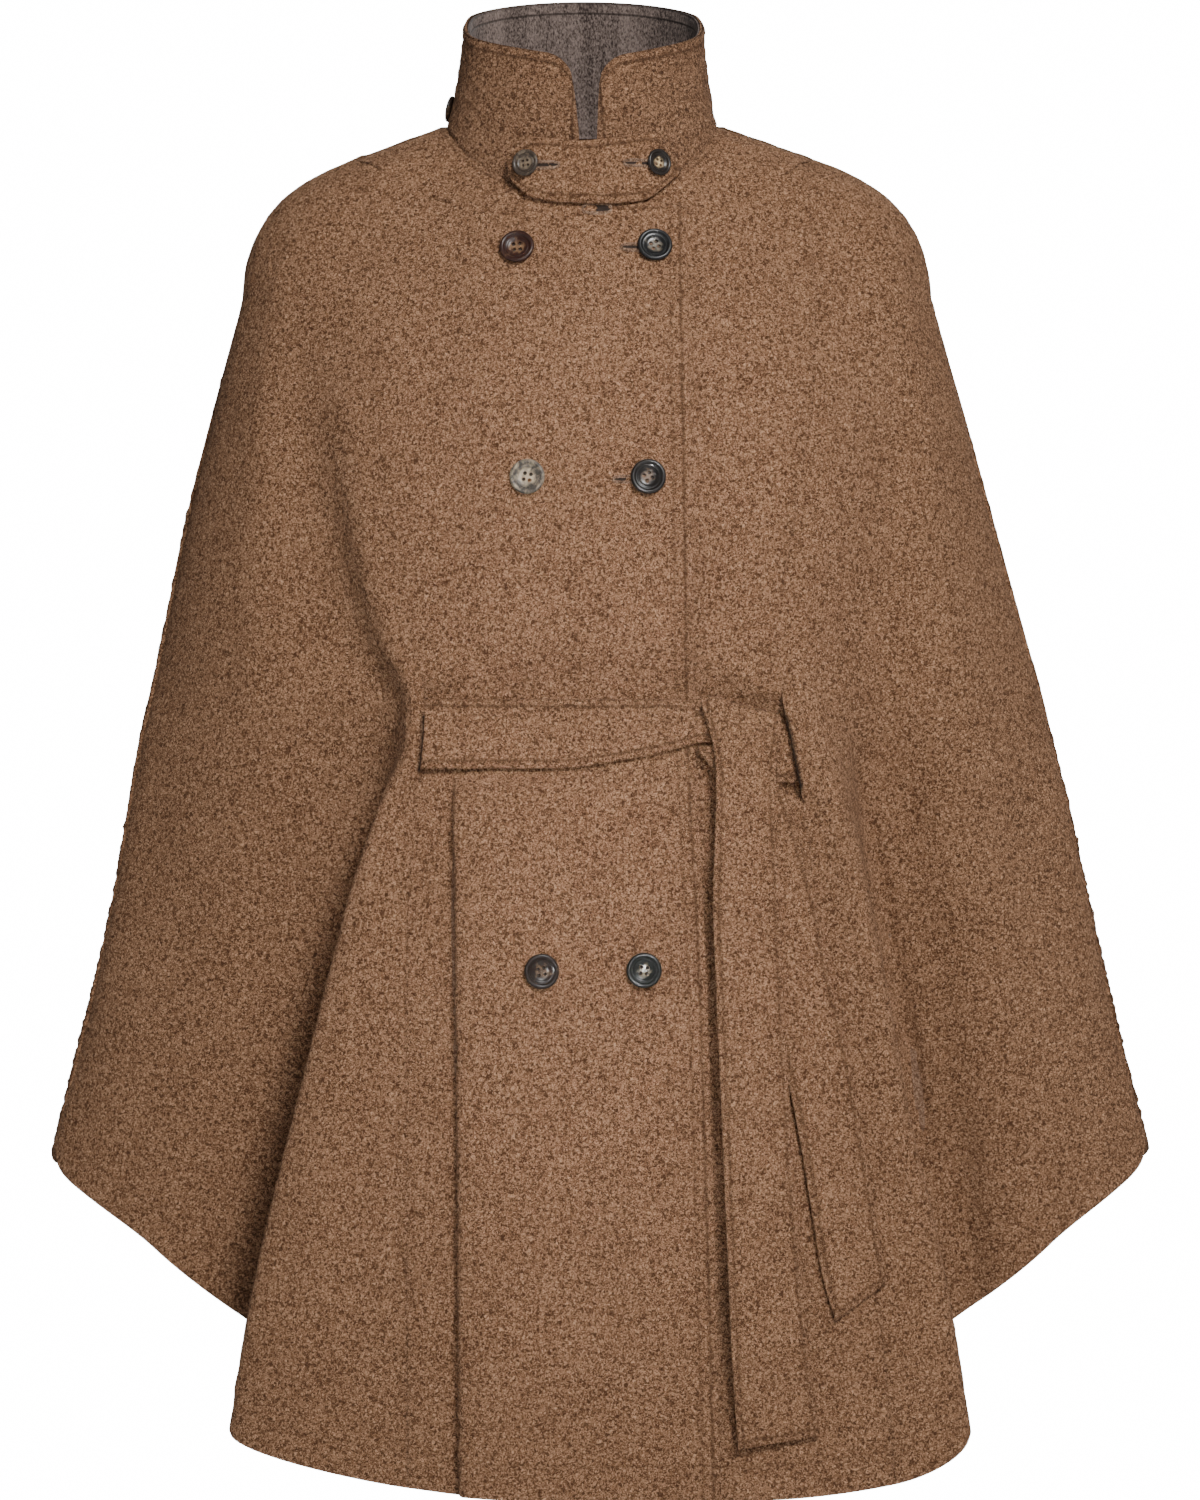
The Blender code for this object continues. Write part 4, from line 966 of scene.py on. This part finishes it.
LONG_TAIL = (
    (72, -369.2, 121, -382.4, 0.6),
    (70.5, -367.9, 121.6, -380.9, 2.6),
    (70, -369.0, 122, -382.2, 5.2),
    (70.5, -373.5, 122, -386.5, 6.4),
    (75, -388, 120.5, -397, 6.2),
    (78.5, -404, 119, -409, 6.2),
    (79.5, -418, 118.5, -420, 7.8),
    (79.5, -432, 118.5, -432, 9.2),
    (78.5, -462, 119.5, -460, 9.6),
    (77.5, -500, 121, -496, 9.6),
    (79.5, -560, 123.5, -556, 9.5),
    (82, -620, 126.5, -616, 9.5),
    (84.5, -680, 130, -676, 9.4),
    (87, -740, 134.5, -736, 9.3),
    (89, -790, 139, -786, 8.8),
    (93.5, -855, 147, -846.5, 6.6),
)
SHORT_TAIL = (
    (84, -421.5, 121, -423.5, 2.4),
    (88, -445, 129, -443, 4.3),
    (93, -478, 138, -474, 4.4),
    (100, -513, 146, -506, 4.4),
    (111, -555, 154, -548, 4.4),
    (123, -603, 165, -596, 4.4),
    (135, -662, 175, -652, 4.4),
    (142, -706, 182, -694, 4.4),
    (148, -742, 187, -726, 4.4),
    (157, -773, 191, -748, 4.4),
)


def refine(points, rows, columns):
    """The same band with finer, smooth rows and columns."""
    for axis, count in ((1, columns), (0, rows)):
        steps = np.linalg.norm(np.diff(points, axis=axis), axis=-1).mean(axis=1 - axis)
        along = np.concatenate([[0], np.cumsum(steps)])
        new = np.linspace(0, along[-1], count)
        lines = np.moveaxis(points, axis, 0)
        flat = lines.reshape(len(along), -1)
        fine = np.stack([smooth_table(along, flat[:, i], new) for i in range(flat.shape[1])], 1)
        points = np.moveaxis(fine.reshape((count,) + lines.shape[1:]), 0, axis)
    return points


belt_wool = wool_material("wool_belt", (("ends", 0, 4, 0.9), ("ends", 1, 5, 0.9)), BROWNS)
tail_lines = (("sides", 0, 4, 0.8), ("sides", 1, 4, 0.8), ("ends", 1, 5, 0.8))
tail_wool = wool_material("wool_belt_tail", tail_lines, BROWNS)
mid = (BELT_TOP + BELT_BOTTOM) / 2
half_belt = (BELT_TOP - BELT_BOTTOM) / 2
loop_rows = []
for level in np.linspace(half_belt, -half_belt, 5):
    line = []
    for x in np.concatenate([np.linspace(LOOP_START, 55, 4), np.linspace(40, -98, 9)]):
        if level < 0:
            narrow = LOOP_RISE * min(max((x + 25) / 95, 0), 1) ** 1.5
        else:
            narrow = LOOP_SQUEEZE * float(ease(x, 60, 70))
        z = mid + level * (1 - narrow / half_belt)
        line.append((x, float(section_y(x, z)) - 0.45, z))
    seam = float(at_height(FOLD_RIGHT, FOLD_COLUMNS, "seam", mid + level))
    seam_y = float(section_y(-seam, mid + level))
    line += [(-seam - out, seam_y + back_step, mid + level) for out, back_step in SLIT_TURN]
    line += [(x, y, mid + level - drop) for x, y, drop in WAIST]
    z = mid + level * (1 - (level > 0) * LOOP_SQUEEZE / half_belt) - BELT_LEFT_DROP
    seam = float(at_height(FOLD_LEFT, FOLD_COLUMNS, "seam", z))
    seam_y = float(section_y(seam, z))
    line += [(seam + out, seam_y + back_step, z) for out, back_step in SLIT_TURN[::-1]]
    line.append((LOOP_END, float(section_y(LOOP_END, z)) + 0.2, z))
    loop_rows.append(line)
loop_points = refine(np.array(loop_rows), 20, 330)
belt_loop = skin(
    "belt_loop_cloth", loop_points, 1, BELT, (1.5, 1.5, 2.6, 3.2), (61, 0.28), (belt_wool, reverse_wool)
)
dress(belt_loop, "belt_loop")
for number, (name, table, rows_wanted, flat, area) in enumerate(
    (
        ("belt_knot", KNOT, 24, (0.05, 0.057), 0.0017),
        ("belt_tail_long", LONG_TAIL, 210, (0.055, 0.495), 0.0232),
        ("belt_tail_short", SHORT_TAIL, 150, (0.047, 0.36), 0.0157),
    )
):
    coarse = []
    for left, left_z, right, right_z, out in table:
        t = np.linspace(0, 1, 5)
        x = left + (right - left) * t
        z = left_z + (right_z - left_z) * t
        coarse.append(np.stack([x, section_y(x, z) - out, z], -1))
    points = refine(np.array(coarse), rows_wanted, 22)
    roll = (2.4, 2.4, 1.5, 2.4)
    piece = skin(
        name + "_cloth", points, -1, BELT, roll, (62 + number, 0.28), (tail_wool, reverse_wool)
    )
    dress(piece, name)

# Buttons: turned discs with a raised rim, a dished middle and four holes, polished and
# mottled like horn, each sewn on with a few turns of dark thread.
BUTTON_LARGE = 23
BUTTON_SMALL = 18
BUTTON_HOLE_REACH = 0.122
# name, size, turn, dark tone, pale tone, share of the pale one, more in the heart, place in the noise
BUTTONS = (
    ("button_top_right", BUTTON_LARGE, 8, (0.024, 0.007, 0.004), (0.25, 0.14, 0.07), -0.12, 0.60, 1.0),
    ("button_top_left", BUTTON_LARGE, 24, (0.006, 0.006, 0.006), (0.25, 0.20, 0.14), -0.25, 0.70, 2.0),
    ("button_chest_right", BUTTON_LARGE, -12, (0.050, 0.042, 0.036), (0.58, 0.46, 0.31), 0.18, 0.50, 3.0),
    ("button_chest_left", BUTTON_LARGE, 30, (0.007, 0.005, 0.004), (0.19, 0.11, 0.06), -0.22, 0.70, 4.0),
    ("button_skirt_right", BUTTON_LARGE, 11, (0.012, 0.006, 0.004), (0.24, 0.14, 0.075), -0.20, 0.65, 5.0),
    ("button_skirt_left", BUTTON_LARGE, -6, (0.006, 0.007, 0.006), (0.28, 0.22, 0.13), -0.28, 0.75, 6.0),
    ("button_tab_right", BUTTON_SMALL, 10, (0.040, 0.028, 0.020), (0.30, 0.22, 0.145), 0.05, 0.40, 7.0),
    ("button_tab_left", BUTTON_SMALL, -15, (0.012, 0.008, 0.006), (0.52, 0.37, 0.20), -0.28, 0.95, 8.0),
    ("button_collar", BUTTON_SMALL, 12, (0.016, 0.010, 0.007), (0.28, 0.18, 0.1), -0.10, 0.60, 9.0),
)


def horn_group():
    """Mottled horn: clouds of a pale tone in a dark one, paler towards the middle."""
    group, entry, leave = group_of(
        "horn_look",
        (
            ("Dark", "NodeSocketColor", (0.03, 0.02, 0.014, 1)),
            ("Pale", "NodeSocketColor", (0.4, 0.28, 0.18, 1)),
            ("Share", "NodeSocketFloat", 0.2),
            ("Heart", "NodeSocketFloat", 0.5),
            ("Place", "NodeSocketFloat", 0.0),
            ("Middle", "NodeSocketFloat", 0.0),
        ),
        (("Color", "NodeSocketColor"), ("Height", "NodeSocketFloat")),
    )
    own = (("W", entry.outputs["Place"]), ("Roughness", 0.62), ("Distortion", 1.3))
    cloud = noise(group, object_place(group), 150.0, 4.0, *own, noise_dimensions="4D")
    swing = times(group, minus(group, cloud, 0.5), 2.2)
    heart = times(group, entry.outputs["Middle"], entry.outputs["Heart"])
    tone = plus(group, plus(group, swing, heart), entry.outputs["Share"], clamp=True)
    colour = mix_colour(group, tone, entry.outputs["Dark"], entry.outputs["Pale"])
    group.links.new(colour, leave.inputs["Color"])
    group.links.new(cloud, leave.inputs["Height"])
    return group


def horn_material(name, dark, pale, share, heart, place):
    material, tree, shader = new_material(name, Roughness=0.34, Specular_IOR_Level=0.3)
    shader.inputs["Coat Weight"].default_value = 0.18
    shader.inputs["Coat Roughness"].default_value = 0.12
    look = tree.nodes.new("ShaderNodeGroup")
    look.node_tree = bpy.data.node_groups["horn_look"]
    look.inputs["Dark"].default_value = (*dark, 1)
    look.inputs["Pale"].default_value = (*pale, 1)
    look.inputs["Share"].default_value = share
    look.inputs["Heart"].default_value = heart
    look.inputs["Place"].default_value = place
    inward = minus(tree, 1.8, times(tree, edge_way(tree, "disc"), 3.2), clamp=True)
    tree.links.new(inward, look.inputs["Middle"])
    finish_shader(tree, shader, look.outputs["Color"], look.outputs["Height"], 0.06, 0.0004)
    return material


horn_group()
BUTTON_SECTION = (
    (0, 0.44),
    (0.28, 0.44),
    (0.44, 0.47),
    (0.52, 0.56),
    (0.57, 0.68),
    (0.61, 0.70),
    (0.65, 0.60),
    (0.70, 0.62),
    (0.76, 0.84),
    (0.82, 0.98),
    (0.88, 1.0),
    (0.94, 0.94),
    (0.985, 0.76),
    (1.0, 0.58),
    (0.96, 0.32),
    (0.86, 0.08),
    (0.6, 0.0),
    (0, 0.0),
)


def button_mesh(name, diameter):
    """A turned disc with four drilled holes; its disc layer holds the radius share."""
    r, thick = diameter / 2 * MM, 0.17 * diameter * MM
    bm = bmesh.new()
    sides = 48
    loops = []
    for share, up in BUTTON_SECTION:
        if share == 0:
            loops.append([bm.verts.new((0, 0, up * thick))])
            continue
        turn = [2 * math.pi * i / sides for i in range(sides)]
        circle = [(share * r * math.cos(a), share * r * math.sin(a), up * thick) for a in turn]
        loops.append([bm.verts.new(place) for place in circle])
    for a, b in zip(loops, loops[1:]):
        for i in range(sides):
            j = (i + 1) % sides
            corners = [a[i % len(a)], b[i % len(b)], b[j % len(b)], a[j % len(a)]]
            bm.faces.new(list(dict.fromkeys(corners)))
    mesh = bpy.data.meshes.new(name)
    bmesh.ops.recalc_face_normals(bm, faces=bm.faces)
    bm.to_mesh(mesh)
    bm.free()
    blank = stand(name + "_blank", mesh)
    drill = bmesh.new()
    for i in range(4):
        angle = math.radians(45 + 90 * i)
        spot = Vector((math.cos(angle), math.sin(angle), 0)) * BUTTON_HOLE_REACH * diameter * MM
        bmesh.ops.create_cone(
            drill,
            cap_ends=True,
            segments=20,
            radius1=0.054 * diameter * MM,
            radius2=0.062 * diameter * MM,
            depth=0.4 * diameter * MM,
            matrix=Matrix.Translation(spot + Vector((0, 0, 0.06 * diameter * MM))),
        )
    drill_mesh = bpy.data.meshes.new(name + "_drill")
    drill.to_mesh(drill_mesh)
    drill.free()
    cutter = stand(name + "_drill", drill_mesh)
    cut = blank.modifiers.new("Holes", "BOOLEAN")
    cut.operation = "DIFFERENCE"
    cut.object = cutter
    ready = bpy.data.meshes.new_from_object(blank.evaluated_get(bpy.context.evaluated_depsgraph_get()))
    bpy.data.objects.remove(blank)
    bpy.data.objects.remove(cutter)
    layer = ready.uv_layers.new(name="disc")
    places = np.array([ready.vertices[loop.vertex_index].co[:2] for loop in ready.loops])
    shares = np.linalg.norm(places, axis=1) / r
    layer.data.foreach_set("uv", np.stack([shares, shares], 1).astype(np.float32).ravel())
    ready.shade_smooth()
    ready.set_sharp_from_angle(angle=math.radians(38))
    return ready


thread_material, thread_tree, thread_shader = new_material("button_thread", Roughness=0.75)
thread_twist = noise(thread_tree, object_place(thread_tree), 2400.0)
thread_colour = mix_colour(thread_tree, thread_twist, (0.012, 0.007, 0.005, 1), (0.05, 0.03, 0.02, 1))
thread_tree.links.new(thread_colour, thread_shader.inputs["Base Color"])


def thread_mesh(name, diameter):
    """Four ends of thread, each coiled down in its own hole below the button's face."""
    bm = bmesh.new()
    for i in range(4):
        angle = math.radians(45 + 90 * i)
        spot = Vector((math.cos(angle), math.sin(angle), 0)) * BUTTON_HOLE_REACH * diameter
        loops = []
        for share, up in ((0.9, 0.02), (0.95, 0.06), (0.8, 0.09), (0.4, 0.11)):
            turns = [2 * math.pi * k / 14 for k in range(14)]
            radius = 0.05 * diameter * share
            height = 0.17 * diameter * up
            circle = [Vector((math.cos(a), math.sin(a), 0)) * radius for a in turns]
            loops.append([bm.verts.new((spot + place + Vector((0, 0, height))) * MM) for place in circle])
        for a, b in zip(loops, loops[1:]):
            for k in range(14):
                bm.faces.new((a[k], a[(k + 1) % 14], b[(k + 1) % 14], b[k]))
        bm.faces.new(loops[0][::-1])
        bm.faces.new(loops[-1])
    bmesh.ops.recalc_face_normals(bm, faces=bm.faces)
    mesh = bpy.data.meshes.new(name)
    bm.to_mesh(mesh)
    bm.free()
    mesh.shade_smooth()
    return mesh


def node_seat(name):
    """The middle of a disc's CAD node and its thin axis, pointing away from the cape."""
    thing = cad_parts[name]
    places = np.array([thing.matrix_world @ vertex.co for vertex in thing.data.vertices]) / MM
    middle = (places.min(0) + places.max(0)) / 2
    spread = np.linalg.svd(places - places.mean(0), full_matrices=False)[2]
    out = spread[2] * (1 if spread[2][:2] @ middle[:2] > 0 else -1)
    low = ((places - middle) @ out).min()
    return middle + out * low, out


button_sizes = ((BUTTON_LARGE, "large"), (BUTTON_SMALL, "small"))
discs = {size: button_mesh("button_" + word, size) for size, word in button_sizes}
threads = {size: thread_mesh("thread_" + word, size) for size, word in button_sizes}
for name, size, turn, *tones in BUTTONS:
    seat, out = node_seat(name)
    upright = Vector(out).to_track_quat("Z", "Y").to_matrix().to_4x4()
    turned = Matrix.Rotation(math.radians(turn), 4, "Z")
    matrix = Matrix.Translation(Vector(seat) * MM) @ upright @ turned
    for suffix, source, material in (
        ("_horn", discs[size], horn_material(name + "_horn", *tones)),
        ("_thread", threads[size], thread_material),
    ):
        mesh = source.copy()
        mesh.transform(matrix)
        mesh.materials.clear()
        mesh.materials.append(material)
        piece = stand(name + suffix, mesh)
        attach(piece, "root")
        if suffix == "_horn":
            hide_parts(name)

# Buttonholes: worked slits in the right front and the tab, each beside its button, their floors a
# near-black painted shadow; the throat entry is a painted shadow only.
BUTTONHOLES = (
    ("buttonhole_top", 29.5, -72.8, 22, 1.1, "front"),
    ("buttonhole_chest", 25.2, -225.4, 22, 0.9, "front"),
    ("buttonhole_tab_right", -33.0, -17.2, 20, 1.1, "tab"),
    ("buttonhole_tab_left", 29.5, -16.6, 19, 0.9, "tab"),
    # Painted shadow: not a buttonhole but a dark dish on the front for the shade of the hollow below the
    # tab's lower edge.
    ("throat_painted_shadow", 1.0, -45.6, 15, 2.3, "front"),
)
LIP_BROWNS = ((0.08, 0.045, 0.028), (0.24, 0.14, 0.09), (0.42, 0.28, 0.19))
LIP_SECTION = ((0, 0.2), (0.3, 0.9), (1.0, 1.2), (1.8, 0.8), (2.5, -0.2))
# Painted shadow: the slot floors take this near-black material in place of the shade inside each slit.
slot_shadow_material, slot_shadow_tree, slot_shadow_shader = new_material("buttonhole_painted_shadow", Roughness=1.0)
slot_shadow_noise = noise(slot_shadow_tree, object_place(slot_shadow_tree), 900.0, 3.0)
slot_shadow_colour = mix_colour(slot_shadow_tree, slot_shadow_noise, (0.006, 0.004, 0.003, 1), (0.04, 0.022, 0.014, 1))
slot_shadow_tree.links.new(slot_shadow_colour, slot_shadow_shader.inputs["Base Color"])
lip_wool = wool_material("wool_buttonhole", (), LIP_BROWNS, 0.7)
for name, x, z, length, slot, base in BUTTONHOLES:
    cloth_points, thickness = (front_points, CLOTH) if base == "front" else (tab_points, TAB)
    gap = (cloth_points[..., 0] - x) ** 2 + (cloth_points[..., 2] - z) ** 2
    spot = np.unravel_index(gap.argmin(), gap.shape)
    out = normals_of(cloth_points, 1)[spot]
    out = out * (1 if out[1] < 0 else -1)
    seat = cloth_points[spot] + out * (thickness / 2)
    bm = bmesh.new()
    turns = 40
    loops = []
    for more, up in LIP_SECTION:
        wide = slot + more
        loop = []
        for k in range(turns):
            a = 2 * math.pi * k / turns
            lx = (length / 2 + wide * 0.6) * math.copysign(abs(math.cos(a)) ** 0.8, math.cos(a))
            ly = wide * math.copysign(abs(math.sin(a)) ** 0.7, math.sin(a))
            loop.append(bm.verts.new(Vector((lx, ly, up)) * MM))
        loops.append(loop)
    for a, b in zip(loops, loops[1:]):
        for k in range(turns):
            bm.faces.new((a[k], b[k], b[(k + 1) % turns], a[(k + 1) % turns]))
    shadow_floor_face = bm.faces.new(loops[0])
    shadow_floor_face.material_index = 1
    bmesh.ops.recalc_face_normals(bm, faces=bm.faces)
    mesh = bpy.data.meshes.new(name)
    bm.to_mesh(mesh)
    bm.free()
    mesh.shade_smooth()
    upright = Vector(out).to_track_quat("Z", "Y").to_matrix().to_4x4()
    mesh.transform(Matrix.Translation(Vector(seat) * MM) @ upright)
    mesh.materials.append(lip_wool)
    mesh.materials.append(slot_shadow_material)
    piece = stand(name, mesh)
    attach(piece, "root")

# Studio: a plain pale floor under the hanging cape, a white surround, and wide soft lights
# above the front and at both sides.
FLOOR_Z = -1.35
FLOOR_RADIUS = 3.2
FLOOR_SIDES = 96


def seen_white(tree, strength_input, seen, cast):
    """A surface that is white to look at and gives the cape only a little light."""
    path = tree.nodes.new("ShaderNodeLightPath")
    share = times(tree, path.outputs["Is Camera Ray"], seen - cast)
    tree.links.new(plus(tree, share, cast), strength_input)


floor_mesh = bpy.data.meshes.new("floor")
floor_turns = [2 * math.pi * i / FLOOR_SIDES for i in range(FLOOR_SIDES)]
floor_rim = [(FLOOR_RADIUS * math.cos(a), FLOOR_RADIUS * math.sin(a), FLOOR_Z) for a in floor_turns]
floor_mesh.from_pydata(floor_rim, [], [list(range(FLOOR_SIDES))])
floor_material, floor_tree, floor_shader = new_material("studio_floor", Roughness=0.95)
floor_shader.inputs["Base Color"].default_value = (0.8, 0.8, 0.8, 1)
floor_shader.inputs["Emission Color"].default_value = (1, 1, 1, 1)
seen_white(floor_tree, floor_shader.inputs["Emission Strength"], 3.0, 0.0)
floor_mesh.materials.append(floor_material)
floor = stand("floor", floor_mesh)
world = bpy.data.worlds.new("studio")
world.use_nodes = True
world.node_tree.nodes["Background"].inputs["Color"].default_value = (1, 1, 1, 1)
seen_white(world.node_tree, world.node_tree.nodes["Background"].inputs["Strength"], 16.0, 0.2)
bpy.context.scene.world = world
for name, place, size, power, spread in (
    ("key_light", (1.25, -2.9, 1.8), (1.0, 0.9), 158, 180),
    ("front_light", (0.5, -4.2, 0.7), (1.4, 1.4), 24, 180),
    ("middle_light", (0.1, -3.6, -0.36), (0.12, 0.7), 0.3, 8),
    ("left_light", (2.8, -1.4, 0.3), (1.4, 2.0), 6, 180),
    ("right_light", (-2.8, -1.4, 0.3), (1.4, 2.0), 7, 180),
    ("back_light", (0.3, 3.0, 1.8), (2.2, 1.6), 40, 180),
):
    lamp = bpy.data.lights.new(name, "AREA")
    lamp.shape = "RECTANGLE"
    lamp.size, lamp.size_y = size
    lamp.energy = power
    lamp.spread = math.radians(spread)
    holder = stand(name, lamp)
    holder.location = place
    holder.rotation_euler = (Vector((0, 0, -0.42)) - Vector(place)).to_track_quat("-Z", "Y").to_euler()
camera = stand("camera", bpy.data.cameras.new("camera"))
camera.data.sensor_width = 36
camera.data.lens = 143.3
camera.location = (0.004, -4.0, -0.402)
camera.rotation_euler = (math.pi / 2, 0, 0)
bpy.context.scene.camera = camera
